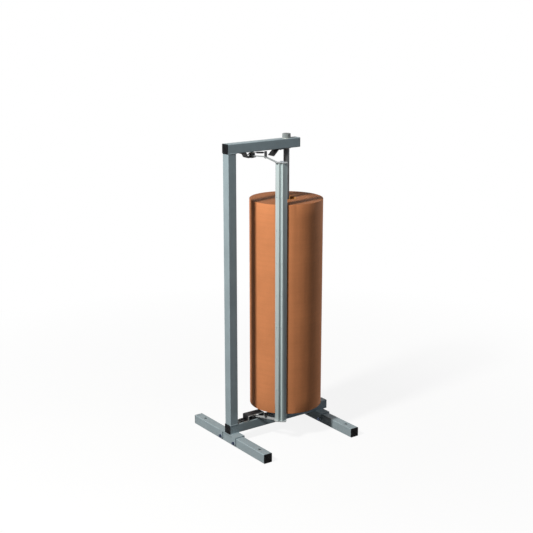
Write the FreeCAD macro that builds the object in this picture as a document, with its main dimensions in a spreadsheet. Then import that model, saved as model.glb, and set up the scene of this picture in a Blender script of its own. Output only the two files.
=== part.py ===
import FreeCAD, Part
import math
import os
import Sketcher
from FreeCAD import Placement, Rotation, Vector

# Floor-standing cutter for a tall roll of wrapping paper. The roll stands upright on a ball-bearing
# turntable, a lift-out spindle passes down its core, and a spring-loaded cutter bar swings on two
# arms and rests against the paper.
# The origin lies on the floor, midway between the four anchor holes of the two feet.
# +X runs along the base beam from the post towards the roll, +Y to the far ends of the feet, +Z up.

doc = FreeCAD.newDocument("paper_roll_cutter")
sheet = doc.addObject("Spreadsheet::Sheet", "Sizes")
pieces = []

# ---------------------------------------------------------------- driving sizes, millimetres

sheet.set("A1", "side of the square tube of the feet, beam, post and arm")
sheet.set("B1", "40")
sheet.setAlias("B1", "tube_side")
sheet.set("A2", "wall of that tube")
sheet.set("B2", "2")
sheet.setAlias("B2", "tube_wall")
sheet.set("A3", "outer corner radius of that tube")
sheet.set("B3", "3")
sheet.setAlias("B3", "tube_corner")
sheet.set("A4", "length of each foot tube")
sheet.set("B4", "530")
sheet.setAlias("B4", "foot_length")
sheet.set("A5", "centre distance of the two feet")
sheet.set("B5", "465")
sheet.setAlias("B5", "feet_spacing")
sheet.set("A6", "floor anchor hole in the feet")
sheet.set("B6", "13")
sheet.setAlias("B6", "anchor_hole")
sheet.set("A7", "distance of the two anchor holes of one foot")
sheet.set("B7", "416")
sheet.setAlias("B7", "anchor_spacing")
sheet.set("A8", "beam past the centre of the right foot")
sheet.set("B8", "39")
sheet.setAlias("B8", "beam_overhang")
sheet.set("A9", "post between the beam and the arm")
sheet.set("B9", "1168")
sheet.setAlias("B9", "post_height")
sheet.set("A10", "top arm past the centre of the spindle")
sheet.set("B10", "55")
sheet.setAlias("B10", "arm_overhang")
sheet.set("A11", "cap of a tube plug")
sheet.set("B11", "2.5")
sheet.setAlias("B11", "plug_cap")
sheet.set("A12", "plug inside its tube")
sheet.set("B12", "14")
sheet.setAlias("B12", "plug_depth")
sheet.set("A13", "wall of the plug's skirt")
sheet.set("B13", "2.5")
sheet.setAlias("B13", "plug_shell")
sheet.set("A14", "gap between the skirt and the tube's inside")
sheet.set("B14", "0.2")
sheet.setAlias("B14", "plug_play")
sheet.set("A15", "rounding of the cap's rim")
sheet.set("B15", "1")
sheet.setAlias("B15", "plug_round")

sheet.set("A16", "thickness of the saddle plates")
sheet.set("B16", "4")
sheet.setAlias("B16", "saddle_plate")
sheet.set("A17", "saddle along its foot")
sheet.set("B17", "124")
sheet.setAlias("B17", "saddle_length")
sheet.set("A18", "gap between a saddle leg and its foot")
sheet.set("B18", "0.2")
sheet.setAlias("B18", "saddle_play")
sheet.set("A19", "width of a saddle leg")
sheet.set("B19", "24")
sheet.setAlias("B19", "leg_width")
sheet.set("A20", "centre distance of the two leg pairs")
sheet.set("B20", "100")
sheet.setAlias("B20", "leg_spacing")
sheet.set("A21", "saddle bolts below the top of the foot")
sheet.set("B21", "23")
sheet.setAlias("B21", "bolt_drop")
sheet.set("A22", "saddle bolt diameter")
sheet.set("B22", "8")
sheet.setAlias("B22", "bolt_thread")
sheet.set("A23", "saddle bolt clearance hole")
sheet.set("B23", "8.6")
sheet.setAlias("B23", "bolt_hole")
sheet.set("A24", "saddle bolt and nut across flats")
sheet.set("B24", "13")
sheet.setAlias("B24", "bolt_head")
sheet.set("A25", "saddle bolt head height")
sheet.set("B25", "5.3")
sheet.setAlias("B25", "bolt_head_height")
sheet.set("A26", "saddle nut height")
sheet.set("B26", "6.5")
sheet.setAlias("B26", "bolt_nut_height")
sheet.set("A27", "saddle bolt past its nut")
sheet.set("B27", "3")
sheet.setAlias("B27", "bolt_end")
sheet.set("A28", "saddle washer diameter")
sheet.set("B28", "16")
sheet.setAlias("B28", "washer_side")
sheet.set("A29", "saddle washer thickness")
sheet.set("B29", "1.6")
sheet.setAlias("B29", "washer_plate")

sheet.set("A30", "cutter pivot from the centre of the post")
sheet.set("B30", "110")
sheet.setAlias("B30", "hinge_offset")
sheet.set("A31", "hinge pin diameter")
sheet.set("B31", "10")
sheet.setAlias("B31", "pin_thread")
sheet.set("A32", "hinge pin head diameter")
sheet.set("B32", "17")
sheet.setAlias("B32", "pin_head")
sheet.set("A33", "hinge pin head height")
sheet.set("B33", "3")
sheet.setAlias("B33", "pin_head_height")
sheet.set("A34", "radial running play on the hinge pins and spindle")
sheet.set("B34", "0.08")
sheet.setAlias("B34", "pin_play")
sheet.set("A35", "end play of the cutter arms on their pins")
sheet.set("B35", "0.4")
sheet.setAlias("B35", "hinge_play")
sheet.set("A36", "hinge nut across flats")
sheet.set("B36", "17")
sheet.setAlias("B36", "nut_flats")
sheet.set("A37", "hinge nut height")
sheet.set("B37", "6")
sheet.setAlias("B37", "nut_height")
sheet.set("A38", "thickness of the lower hinge bridge")
sheet.set("B38", "3.2")
sheet.setAlias("B38", "bridge_plate")
sheet.set("A39", "height of the lower hinge bridge")
sheet.set("B39", "24")
sheet.setAlias("B39", "bridge_height")
sheet.set("A40", "pivot to the outer face of the bridge's post-side leg")
sheet.set("B40", "38")
sheet.setAlias("B40", "bridge_left")
sheet.set("A41", "pivot to the outer face of the bridge's roll-side leg")
sheet.set("B41", "48")
sheet.setAlias("B41", "bridge_right")
sheet.set("A42", "length of each bridge flange")
sheet.set("B42", "25")
sheet.setAlias("B42", "bridge_flange")
sheet.set("A43", "thickness of the upper hinge bracket")
sheet.set("B43", "3")
sheet.setAlias("B43", "hanger_plate")
sheet.set("A44", "width of the upper hinge bracket")
sheet.set("B44", "36")
sheet.setAlias("B44", "hanger_width")
sheet.set("A45", "depth of the upper hinge bracket under the arm")
sheet.set("B45", "24")
sheet.setAlias("B45", "hanger_drop")
sheet.set("A46", "pivot to the foot of the bracket's sloping leg")
sheet.set("B46", "28")
sheet.setAlias("B46", "hanger_reach")
sheet.set("A47", "how far that leg leans towards the post")
sheet.set("B47", "12")
sheet.setAlias("B47", "hanger_slope")
sheet.set("A48", "length of the bracket's screw flange")
sheet.set("B48", "24")
sheet.setAlias("B48", "hanger_flange")
sheet.set("A49", "diameter of the bracket and bridge screws")
sheet.set("B49", "5")
sheet.setAlias("B49", "plate_screw")
sheet.set("A50", "head diameter of those screws")
sheet.set("B50", "9.5")
sheet.setAlias("B50", "plate_screw_head")
sheet.set("A51", "head height of those screws")
sheet.set("B51", "3")
sheet.setAlias("B51", "plate_screw_height")
sheet.set("A52", "length of those screws past the plate")
sheet.set("B52", "10")
sheet.setAlias("B52", "plate_screw_grip")
sheet.set("A53", "distance between two screws in one flange")
sheet.set("B53", "20")
sheet.setAlias("B53", "plate_screw_spread")

sheet.set("A54", "arm stop from the centre of the post")
sheet.set("B54", "232")
sheet.setAlias("B54", "stop_offset")
sheet.set("A55", "drop of the sloping stop leaf")
sheet.set("B55", "26")
sheet.setAlias("B55", "stop_drop")
sheet.set("A56", "thickness of the arm stop")
sheet.set("B56", "3")
sheet.setAlias("B56", "stop_plate")
sheet.set("A57", "screw flange of the arm stop")
sheet.set("B57", "28")
sheet.setAlias("B57", "stop_flange")

sheet.set("A58", "thickness of the cutter arms")
sheet.set("B58", "3")
sheet.setAlias("B58", "arm_plate")
sheet.set("A59", "width of the cutter arms")
sheet.set("B59", "14")
sheet.setAlias("B59", "arm_width")
sheet.set("A60", "radius of the eye round the pin")
sheet.set("B60", "13")
sheet.setAlias("B60", "arm_eye")
sheet.set("A61", "wall of the nylon arm bush")
sheet.set("B61", "2")
sheet.setAlias("B61", "bush_wall")
sheet.set("A62", "wall of the spring spools")
sheet.set("B62", "3")
sheet.setAlias("B62", "spool_wall")
sheet.set("A63", "height between the beam and the lower cutter arm")
sheet.set("B63", "11")
sheet.setAlias("B63", "lower_room")
sheet.set("A64", "nylon washer under the upper cutter arm")
sheet.set("B64", "1")
sheet.setAlias("B64", "thrust_washer")
sheet.set("A65", "how far the upper cutter arm steps down to the bar")
sheet.set("B65", "19")
sheet.setAlias("B65", "arm_drop")
sheet.set("A66", "pivot to the start of that step")
sheet.set("B66", "60")
sheet.setAlias("B66", "bend_start")
sheet.set("A67", "pivot to the end of that step")
sheet.set("B67", "112")
sheet.setAlias("B67", "bend_end")
sheet.set("A68", "pivot to the start of the lower arm's wide part")
sheet.set("B68", "34")
sheet.setAlias("B68", "widening_start")
sheet.set("A69", "pivot to the full width of that part")
sheet.set("B69", "44")
sheet.setAlias("B69", "widening_end")
sheet.set("A70", "extra width of that part, on the roll side")
sheet.set("B70", "6")
sheet.setAlias("B70", "widening")
sheet.set("A71", "end pad of a cutter arm along the paper")
sheet.set("B71", "51")
sheet.setAlias("B71", "pad_width")
sheet.set("A72", "end pad of a cutter arm away from the paper")
sheet.set("B72", "27")
sheet.setAlias("B72", "pad_depth")
sheet.set("A73", "end pad past the paper's surface, towards the spindle")
sheet.set("B73", "5")
sheet.setAlias("B73", "pad_inset")
sheet.set("A74", "corner radius of the end pads")
sheet.set("B74", "8")
sheet.setAlias("B74", "pad_round")
sheet.set("A75", "the arms aim this far in front of the paper")
sheet.set("B75", "8")
sheet.setAlias("B75", "arm_target")

sheet.set("A76", "torsion spring wire")
sheet.set("B76", "3")
sheet.setAlias("B76", "spring_wire")
sheet.set("A77", "mean radius of the torsion springs")
sheet.set("B77", "12.5")
sheet.setAlias("B77", "spring_radius")
sheet.set("A78", "pitch of the torsion springs")
sheet.set("B78", "3.3")
sheet.setAlias("B78", "spring_pitch")
sheet.set("A79", "whole turns of a torsion spring")
sheet.set("B79", "2")
sheet.setAlias("B79", "spring_whole_turns")
sheet.set("A80", "spring leg past its stud")
sheet.set("B80", "12")
sheet.setAlias("B80", "spring_tail")
sheet.set("A81", "lowest coil centre above the beam or the upper arm")
sheet.set("B81", "1.8")
sheet.setAlias("B81", "spring_lift")
sheet.set("A82", "pivot to the spring stud")
sheet.set("B82", "63.5")
sheet.setAlias("B82", "stud_reach")
sheet.set("A83", "spring stud diameter")
sheet.set("B83", "9")
sheet.setAlias("B83", "stud_side")
sheet.set("A84", "spring stud of the upper arm")
sheet.set("B84", "20.8")
sheet.setAlias("B84", "upper_stud_height")
sheet.set("A85", "spring stud of the lower arm")
sheet.set("B85", "7")
sheet.setAlias("B85", "lower_stud_height")

sheet.set("A86", "paper roll diameter")
sheet.set("B86", "313")
sheet.setAlias("B86", "roll_diameter")
sheet.set("A87", "paper roll width, 36 inches")
sheet.set("B87", "914.4")
sheet.setAlias("B87", "roll_length")
sheet.set("A88", "bore of the roll's cardboard core, 3 inches")
sheet.set("B88", "76.2")
sheet.setAlias("B88", "core_bore")
sheet.set("A89", "wall of that core")
sheet.set("B89", "5")
sheet.setAlias("B89", "core_wall")
sheet.set("A90", "gap under the roll")
sheet.set("B90", "0.2")
sheet.setAlias("B90", "roll_seat")
sheet.set("A91", "spindle from the centre of the post")
sheet.set("B91", "287")
sheet.setAlias("B91", "spindle_offset")
sheet.set("A92", "spindle tube, 1 inch")
sheet.set("B92", "25.4")
sheet.setAlias("B92", "spindle_diameter")
sheet.set("A93", "wall of the spindle tube")
sheet.set("B93", "2")
sheet.setAlias("B93", "spindle_wall")
sheet.set("A94", "cap of the spindle's plugs")
sheet.set("B94", "3")
sheet.setAlias("B94", "spindle_plug_cap")
sheet.set("A95", "spindle plugs inside the tube")
sheet.set("B95", "16")
sheet.setAlias("B95", "spindle_plug_depth")
sheet.set("A96", "gap under the spindle's foot")
sheet.set("B96", "0.2")
sheet.setAlias("B96", "spindle_rest")
sheet.set("A97", "spindle collar diameter")
sheet.set("B97", "36")
sheet.setAlias("B97", "collar_diameter")
sheet.set("A98", "spindle collar height")
sheet.set("B98", "18")
sheet.setAlias("B98", "collar_height")
sheet.set("A99", "edge chamfer of the collar")
sheet.set("B99", "1.5")
sheet.setAlias("B99", "collar_chamfer")
sheet.set("A100", "collar set screw diameter")
sheet.set("B100", "6")
sheet.setAlias("B100", "set_screw")
sheet.set("A101", "set screw below the collar's surface")
sheet.set("B101", "1")
sheet.setAlias("B101", "set_screw_sink")
sheet.set("A102", "outer diameter of the spindle bushes")
sheet.set("B102", "31")
sheet.setAlias("B102", "bush_body")
sheet.set("A103", "flange diameter of the spindle bushes")
sheet.set("B103", "36")
sheet.setAlias("B103", "bush_flange")
sheet.set("A104", "flange thickness of the spindle bushes")
sheet.set("B104", "1.5")
sheet.setAlias("B104", "bush_flange_plate")
sheet.set("A105", "spindle bush inside the arm tube")
sheet.set("B105", "10")
sheet.setAlias("B105", "bush_length")
sheet.set("A106", "hole in the beam's top wall for the spindle")
sheet.set("B106", "26.2")
sheet.setAlias("B106", "guide_hole")

sheet.set("A107", "pedestal of the turntable")
sheet.set("B107", "70")
sheet.setAlias("B107", "pedestal_diameter")
sheet.set("A108", "height of that pedestal")
sheet.set("B108", "23.2")
sheet.setAlias("B108", "pedestal_height")
sheet.set("A109", "outer diameter of the bearing races")
sheet.set("B109", "90")
sheet.setAlias("B109", "race_diameter")
sheet.set("A110", "bore of the bearing races")
sheet.set("B110", "34")
sheet.setAlias("B110", "race_bore")
sheet.set("A111", "thickness of the bearing races")
sheet.set("B111", "4")
sheet.setAlias("B111", "race_plate")
sheet.set("A112", "bearing balls")
sheet.set("B112", "6.35")
sheet.setAlias("B112", "ball_diameter")
sheet.set("A113", "number of balls")
sheet.set("B113", "16")
sheet.setAlias("B113", "ball_count")
sheet.set("A114", "pitch circle of the balls")
sheet.set("B114", "66")
sheet.setAlias("B114", "ball_circle")
sheet.set("A115", "depth of the ball grooves")
sheet.set("B115", "1")
sheet.setAlias("B115", "groove_depth")
sheet.set("A116", "play of the balls in their grooves and pockets")
sheet.set("B116", "0.08")
sheet.setAlias("B116", "groove_play")
sheet.set("A117", "thickness of the ball cage")
sheet.set("B117", "1.6")
sheet.setAlias("B117", "cage_plate")
sheet.set("A118", "cage ring either side of the ball circle")
sheet.set("B118", "8")
sheet.setAlias("B118", "cage_rim")
sheet.set("A119", "turntable disc")
sheet.set("B119", "240")
sheet.setAlias("B119", "disc_diameter")
sheet.set("A120", "thickness of the turntable disc")
sheet.set("B120", "4")
sheet.setAlias("B120", "disc_plate")
sheet.set("A121", "core hub on the disc")
sheet.set("B121", "75.4")
sheet.setAlias("B121", "hub_diameter")
sheet.set("A122", "height of the core hub")
sheet.set("B122", "30")
sheet.setAlias("B122", "hub_height")
sheet.set("A123", "radial gap between hub and spindle")
sheet.set("B123", "0.5")
sheet.setAlias("B123", "hub_play")
sheet.set("A124", "lead-in chamfer of the hub")
sheet.set("B124", "4")
sheet.setAlias("B124", "hub_chamfer")
sheet.set("A125", "pitch circle of the hub screws")
sheet.set("B125", "52")
sheet.setAlias("B125", "hub_screw_circle")
sheet.set("A126", "number of hub screws")
sheet.set("B126", "3")
sheet.setAlias("B126", "hub_screw_count")
sheet.set("A127", "hub screw diameter")
sheet.set("B127", "5")
sheet.setAlias("B127", "hub_screw")
sheet.set("A128", "hub screw head diameter")
sheet.set("B128", "8.5")
sheet.setAlias("B128", "hub_screw_head")
sheet.set("A129", "hub screw head height")
sheet.set("B129", "5")
sheet.setAlias("B129", "hub_screw_height")
sheet.set("A130", "hub screw seat above the disc")
sheet.set("B130", "10")
sheet.setAlias("B130", "hub_screw_seat")

sheet.set("A131", "degrees from -X towards -Y at which the cutter bar meets the roll")
sheet.set("B131", "46")
sheet.setAlias("B131", "bar_side")
sheet.set("A132", "ridge of the cutter rail in front of the paper")
sheet.set("B132", "21.4")
sheet.setAlias("B132", "ridge_height")
sheet.set("A133", "ridge beside the bar's centre line, away from the post")
sheet.set("B133", "8.6")
sheet.setAlias("B133", "ridge_shift")
sheet.set("A134", "rail face between groove and ridge")
sheet.set("B134", "10.6")
sheet.setAlias("B134", "ridge_face")
sheet.set("A135", "rail face beyond the ridge")
sheet.set("B135", "22.3")
sheet.setAlias("B135", "outer_face")
sheet.set("A136", "lip of the rail that runs on the paper")
sheet.set("B136", "6.6")
sheet.setAlias("B136", "rail_lip")
sheet.set("A137", "rail sheet thickness")
sheet.set("B137", "2")
sheet.setAlias("B137", "rail_sheet")
sheet.set("A138", "blade holder face in the groove")
sheet.set("B138", "11.5")
sheet.setAlias("B138", "groove_face")
sheet.set("A139", "blade holder face above the blade")
sheet.set("B139", "24.2")
sheet.setAlias("B139", "holder_face")
sheet.set("A140", "degrees between that face and the paper")
sheet.set("B140", "47")
sheet.setAlias("B140", "holder_angle")
sheet.set("A141", "holder tongue under the rail")
sheet.set("B141", "8")
sheet.setAlias("B141", "holder_tongue")
sheet.set("A142", "holder sheet thickness")
sheet.set("B142", "1.5")
sheet.setAlias("B142", "holder_sheet")
sheet.set("A143", "cutting blade thickness")
sheet.set("B143", "1")
sheet.setAlias("B143", "blade_plate")
sheet.set("A144", "cutting blade width")
sheet.set("B144", "18")
sheet.setAlias("B144", "blade_width")
sheet.set("A145", "cutting edge past the holder")
sheet.set("B145", "3.8")
sheet.setAlias("B145", "blade_reach")
sheet.set("A146", "blade short of the rail's end")
sheet.set("B146", "4")
sheet.setAlias("B146", "blade_end_gap")
sheet.set("A147", "pitch of the blade screws and rivets along the rail")
sheet.set("B147", "139")
sheet.setAlias("B147", "fastener_pitch")
sheet.set("A148", "number of blade screws and of rivets")
sheet.set("B148", "7")
sheet.setAlias("B148", "fastener_count")
sheet.set("A149", "blade screw diameter")
sheet.set("B149", "4")
sheet.setAlias("B149", "blade_screw")
sheet.set("A150", "blade screw head diameter and nut across flats")
sheet.set("B150", "7")
sheet.setAlias("B150", "blade_screw_head")
sheet.set("A151", "blade screw head height")
sheet.set("B151", "2")
sheet.setAlias("B151", "blade_screw_height")
sheet.set("A152", "blade nut height")
sheet.set("B152", "3")
sheet.setAlias("B152", "blade_nut_height")
sheet.set("A153", "rivet shank diameter")
sheet.set("B153", "4")
sheet.setAlias("B153", "rivet")
sheet.set("A154", "rivet head diameter")
sheet.set("B154", "6.5")
sheet.setAlias("B154", "rivet_head")
sheet.set("A155", "rivet head height")
sheet.set("B155", "1.4")
sheet.setAlias("B155", "rivet_head_height")
sheet.set("A156", "tapped block inside each end of the rail")
sheet.set("B156", "16")
sheet.setAlias("B156", "block_height")
sheet.set("A157", "block in front of the paper")
sheet.set("B157", "2.8")
sheet.setAlias("B157", "block_low")
sheet.set("A158", "height of the block's far side")
sheet.set("B158", "3")
sheet.setAlias("B158", "block_side")
sheet.set("A159", "block's near side beyond the bar's centre line, towards the post")
sheet.set("B159", "4.5")
sheet.setAlias("B159", "block_left")
sheet.set("A160", "pad screw diameter")
sheet.set("B160", "4")
sheet.setAlias("B160", "pad_screw")
sheet.set("A161", "pad screw head diameter")
sheet.set("B161", "7")
sheet.setAlias("B161", "pad_screw_head")
sheet.set("A162", "pad screw head height")
sheet.set("B162", "5")
sheet.setAlias("B162", "pad_screw_height")
sheet.set("A163", "pad screw past the arm")
sheet.set("B163", "12")
sheet.setAlias("B163", "pad_screw_length")
sheet.set("A164", "degrees between the stop's leaf and the arm")
sheet.set("B164", "45")
sheet.setAlias("B164", "stop_angle")
sheet.set("A165", "degrees between the rail's faces and the paper")
sheet.set("B165", "45")
sheet.setAlias("B165", "ridge_angle")
sheet.set("A166", "inner pad screw beyond the bar's centre line, towards the post")
sheet.set("B166", "1.2")
sheet.setAlias("B166", "inner_screw_side")
sheet.set("A167", "inner pad screw in front of the paper")
sheet.set("B167", "6.3")
sheet.setAlias("B167", "inner_screw_front")
sheet.set("A168", "outer pad screw beside the bar's centre line, away from the post")
sheet.set("B168", "7.2")
sheet.setAlias("B168", "outer_screw_side")
sheet.set("A169", "outer pad screw in front of the paper")
sheet.set("B169", "6.3")
sheet.setAlias("B169", "outer_screw_front")
sheet.set("A170", "rise of the upper spring's moving leg")
sheet.set("B170", "8")
sheet.setAlias("B170", "leg_rise")
doc.recompute()


def number(expression):
    """The value of an expression over the sheet, as a plain number."""
    result = sheet.evalExpression(expression)
    return float(getattr(result, "Value", result))


TOUCH = 1e-6  # millimetres: two places this close are one place

# ---------------------------------------------------------------- levels and places

BEAM_LOW = "(Sizes.tube_side + Sizes.saddle_plate)"
BEAM_TOP = f"({BEAM_LOW} + Sizes.tube_side)"
ARM_LOW = f"({BEAM_TOP} + Sizes.post_height)"
ARM_TOP = f"({ARM_LOW} + Sizes.tube_side)"
POST_X = "(-Sizes.feet_spacing / 2)"
POST_LEFT = f"({POST_X} - Sizes.tube_side / 2)"
RIGHT_FOOT_X = "(Sizes.feet_spacing / 2)"
PIVOT_X = f"({POST_X} + Sizes.hinge_offset)"
STOP_X = f"({POST_X} + Sizes.stop_offset)"
SPINDLE_X = f"({POST_X} + Sizes.spindle_offset)"
BEAM_LENGTH = "(Sizes.feet_spacing + Sizes.tube_side / 2 + Sizes.beam_overhang)"
ARM_RIGHT = f"({SPINDLE_X} + Sizes.arm_overhang)"
ARM_LENGTH = "(Sizes.tube_side / 2 + Sizes.spindle_offset + Sizes.arm_overhang)"
BEAM_RIGHT = f"({POST_LEFT} + {BEAM_LENGTH})"

LOWER_ARM_LOW = f"({BEAM_TOP} + Sizes.lower_room)"
RAIL_LOW = f"({LOWER_ARM_LOW} + Sizes.arm_plate)"
TONGUE_TOP = f"({ARM_LOW} - Sizes.hanger_drop + Sizes.hanger_plate)"
UPPER_ARM_LOW = f"({TONGUE_TOP} + Sizes.thrust_washer + Sizes.hinge_play / 2)"
RAIL_TOP = f"({UPPER_ARM_LOW} - Sizes.arm_drop)"
RAIL_LENGTH = f"({RAIL_TOP} - {RAIL_LOW})"

RACE_GAP = "(Sizes.ball_diameter - 2 * Sizes.groove_depth)"
LOWER_RACE_LOW = f"({BEAM_TOP} + Sizes.pedestal_height)"
BALL_LEVEL = f"({LOWER_RACE_LOW} + Sizes.race_plate + {RACE_GAP} / 2)"
UPPER_RACE_LOW = f"({LOWER_RACE_LOW} + Sizes.race_plate + {RACE_GAP})"
DISC_LOW = f"({UPPER_RACE_LOW} + Sizes.race_plate)"
DISC_TOP = f"({DISC_LOW} + Sizes.disc_plate)"
ROLL_LOW = f"({DISC_TOP} + Sizes.roll_seat)"

SPINDLE_LOW = f"({BEAM_LOW} + Sizes.tube_wall + Sizes.spindle_rest)"
COLLAR_LOW = f"({ARM_TOP} + Sizes.bush_flange_plate + Sizes.spindle_rest)"
SPINDLE_TOP = f"({COLLAR_LOW} + Sizes.collar_height)"
RUNNING_BORE = "(Sizes.spindle_diameter + 2 * Sizes.pin_play)"

# The cutter bar's own frame stands on the paper's surface: its +Y points away from the spindle,
# its +X points along the paper towards the post.
BAR_TURN = "(90 + Sizes.bar_side)"
BAR_X = f"({SPINDLE_X} - Sizes.roll_diameter / 2 * cos(Sizes.bar_side))"
BAR_Y = "(-Sizes.roll_diameter / 2 * sin(Sizes.bar_side))"
TARGET_X = f"({BAR_X} - Sizes.arm_target * cos(Sizes.bar_side))"
TARGET_Y = f"({BAR_Y} - Sizes.arm_target * sin(Sizes.bar_side))"
ARM_REACH = f"hypot({TARGET_X} - {PIVOT_X}; {TARGET_Y})"
ARM_TURN = f"atan2({TARGET_Y}; {TARGET_X} - {PIVOT_X})"


# ---------------------------------------------------------------- building blocks


def keep(piece, label):
    """Register a finished sub-part under its own name."""
    piece.Label = label
    pieces.append(piece)
    return piece


def move(thing, x="0", y="0", z="0", turn=None):
    """Bind a placement to the sheet; turn is an angle about +Z."""
    thing.setExpression("Placement.Base.x", x)
    thing.setExpression("Placement.Base.y", y)
    thing.setExpression("Placement.Base.z", z)
    if turn is not None:
        thing.Placement.Rotation = Rotation(Vector(0, 0, 1), 1)
        thing.setExpression("Placement.Rotation.Angle", turn)
    return thing


def box(name, length, width, height, x="0", y="0", z="0", turn=None):
    """A block whose low corner is at x, y, z."""
    made = doc.addObject("Part::Box", name)
    made.setExpression("Length", length)
    made.setExpression("Width", width)
    made.setExpression("Height", height)
    return move(made, x, y, z, turn)


def cylinder(name, radius, height, x="0", y="0", z="0", along=None):
    """A round bar from x, y, z upwards, or along another axis."""
    made = doc.addObject("Part::Cylinder", name)
    made.setExpression("Radius", radius)
    made.setExpression("Height", height)
    if along is not None:
        made.Placement.Rotation = Rotation(Vector(0, 0, 1), along)
    return move(made, x, y, z)


def prism(name, flats, height, x="0", y="0", z="0", along=None):
    """A hexagonal prism given by its width across flats."""
    made = doc.addObject("Part::Prism", name)
    made.Polygon = 6
    made.setExpression("Circumradius", f"{flats} / 2 / cos(30)")
    made.setExpression("Height", height)
    if along is not None:
        made.Placement.Rotation = Rotation(Vector(0, 0, 1), along)
    return move(made, x, y, z)


def fuse(name, shapes):
    made = doc.addObject("Part::MultiFuse", name)
    made.Shapes = shapes
    made.Refine = True
    return made


def cut(name, base, tools):
    made = doc.addObject("Part::Cut", name)
    made.Base = base
    made.Tool = tools[0] if len(tools) == 1 else fuse(name + "_tools", tools)
    made.Refine = True
    return made


def group(label, members):
    """Like pieces that share one node, each a solid of its own."""
    made = doc.addObject("Part::Compound", label)
    made.Links = members
    return keep(made, label)


def new_body(name):
    return doc.addObject("PartDesign::Body", name)


def sketch(body, role="XY_Plane", lift="0"):
    """An empty sketch on one of the body's origin planes, lifted along the plane's normal."""
    drawn = body.newObject("Sketcher::SketchObject", body.Name + "_sketch")
    planes = [feature for feature in body.Origin.OriginFeatures if feature.Role == role]
    drawn.AttachmentSupport = [(planes[0], "")]
    drawn.MapMode = "FlatFace"
    drawn.setExpression("AttachmentOffset.Base.z", lift)
    return drawn


def hold(drawn, kind, element, point, expression):
    """One coordinate of a sketch point, bound to the sheet."""
    rule = Sketcher.Constraint(kind, -1, 1, element, point, number(expression))
    drawn.setExpression(f"Constraints[{drawn.addConstraint(rule)}]", expression)


def outline(drawn, points):
    """A closed run of straight edges through points given as pairs of expressions."""
    corners = [Vector(number(x), number(y), 0) for x, y in points]
    count = len(points)
    first = drawn.GeometryCount
    edges = [Part.LineSegment(corners[i], corners[(i + 1) % count]) for i in range(count)]
    drawn.addGeometry(edges, False)
    for i in range(count):
        drawn.addConstraint(Sketcher.Constraint("Coincident", first + i, 2, first + (i + 1) % count, 1))
    for i, (x, y) in enumerate(points):
        hold(drawn, "DistanceX", first + i, 1, x)
        hold(drawn, "DistanceY", first + i, 1, y)


def rectangle(drawn, width, depth, x="0", y="0"):
    """A rectangle about its centre."""
    left, right = f"{x} - ({width}) / 2", f"{x} + ({width}) / 2"
    low, high = f"{y} - ({depth}) / 2", f"{y} + ({depth}) / 2"
    outline(drawn, [(left, low), (right, low), (right, high), (left, high)])


def circle(drawn, diameter, x="0", y="0"):
    centre = Vector(number(x), number(y), 0)
    ring = Part.Circle(centre, Vector(0, 0, 1), number(diameter) / 2)
    element = drawn.addGeometry(ring, False)
    hold(drawn, "DistanceX", element, 3, x)
    hold(drawn, "DistanceY", element, 3, y)
    rule = Sketcher.Constraint("Diameter", element, number(diameter))
    drawn.setExpression(f"Constraints[{drawn.addConstraint(rule)}]", diameter)


def pad(body, drawn, length, symmetric=False):
    made = body.newObject("PartDesign::Pad", body.Name + "_pad")
    made.Profile = drawn
    made.SideType = "Symmetric" if symmetric else "One side"
    made.setExpression("Length", length)
    doc.recompute()
    return made


def pocket(body, drawn, length=None, towards_normal=False):
    """Cut a sketch through the whole body both ways, or to one side by a length."""
    before = body.Shape.Volume
    made = body.newObject("PartDesign::Pocket", body.Name + "_pocket")
    made.Profile = drawn
    if length is None:
        made.Type = "ThroughAll"
        made.SideType = "Symmetric"
    else:
        made.Type = "Length"
        made.Reversed = towards_normal
        made.setExpression("Length", length)
    doc.recompute()
    if body.Shape.Volume >= before:
        raise RuntimeError(f"a pocket of {body.Label} removes nothing")
    return made


def fillet(body, radius, chosen):
    """Round the edges of the body's tip that a test picks out."""
    tip = body.Tip
    names = [f"Edge{i + 1}" for i, edge in enumerate(tip.Shape.Edges) if chosen(edge)]
    made = body.newObject("PartDesign::Fillet", body.Name + "_fillet")
    made.Base = (tip, names)
    made.setExpression("Radius", radius)
    doc.recompute()
    return made


def runs_along(direction):
    """A test for straight edges that run along a direction."""

    def chosen(edge):
        if edge.Curve.TypeId != "Part::GeomLine":
            return False
        return abs(edge.tangentAt(edge.FirstParameter).dot(direction)) > 0.999

    return chosen


def square_tube(name, length):
    """A square tube with rounded corners, standing on its centre line from z = 0."""
    body = new_body(name)
    section = sketch(body)
    rectangle(section, "Sizes.tube_side", "Sizes.tube_side")
    pad(body, section, length)
    fillet(body, "Sizes.tube_corner", runs_along(Vector(0, 0, 1)))
    inside = sketch(body)
    hollow = "Sizes.tube_side - 2 * Sizes.tube_wall"
    rectangle(inside, hollow, hollow)
    pocket(body, inside, length, towards_normal=True)
    return body


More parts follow.
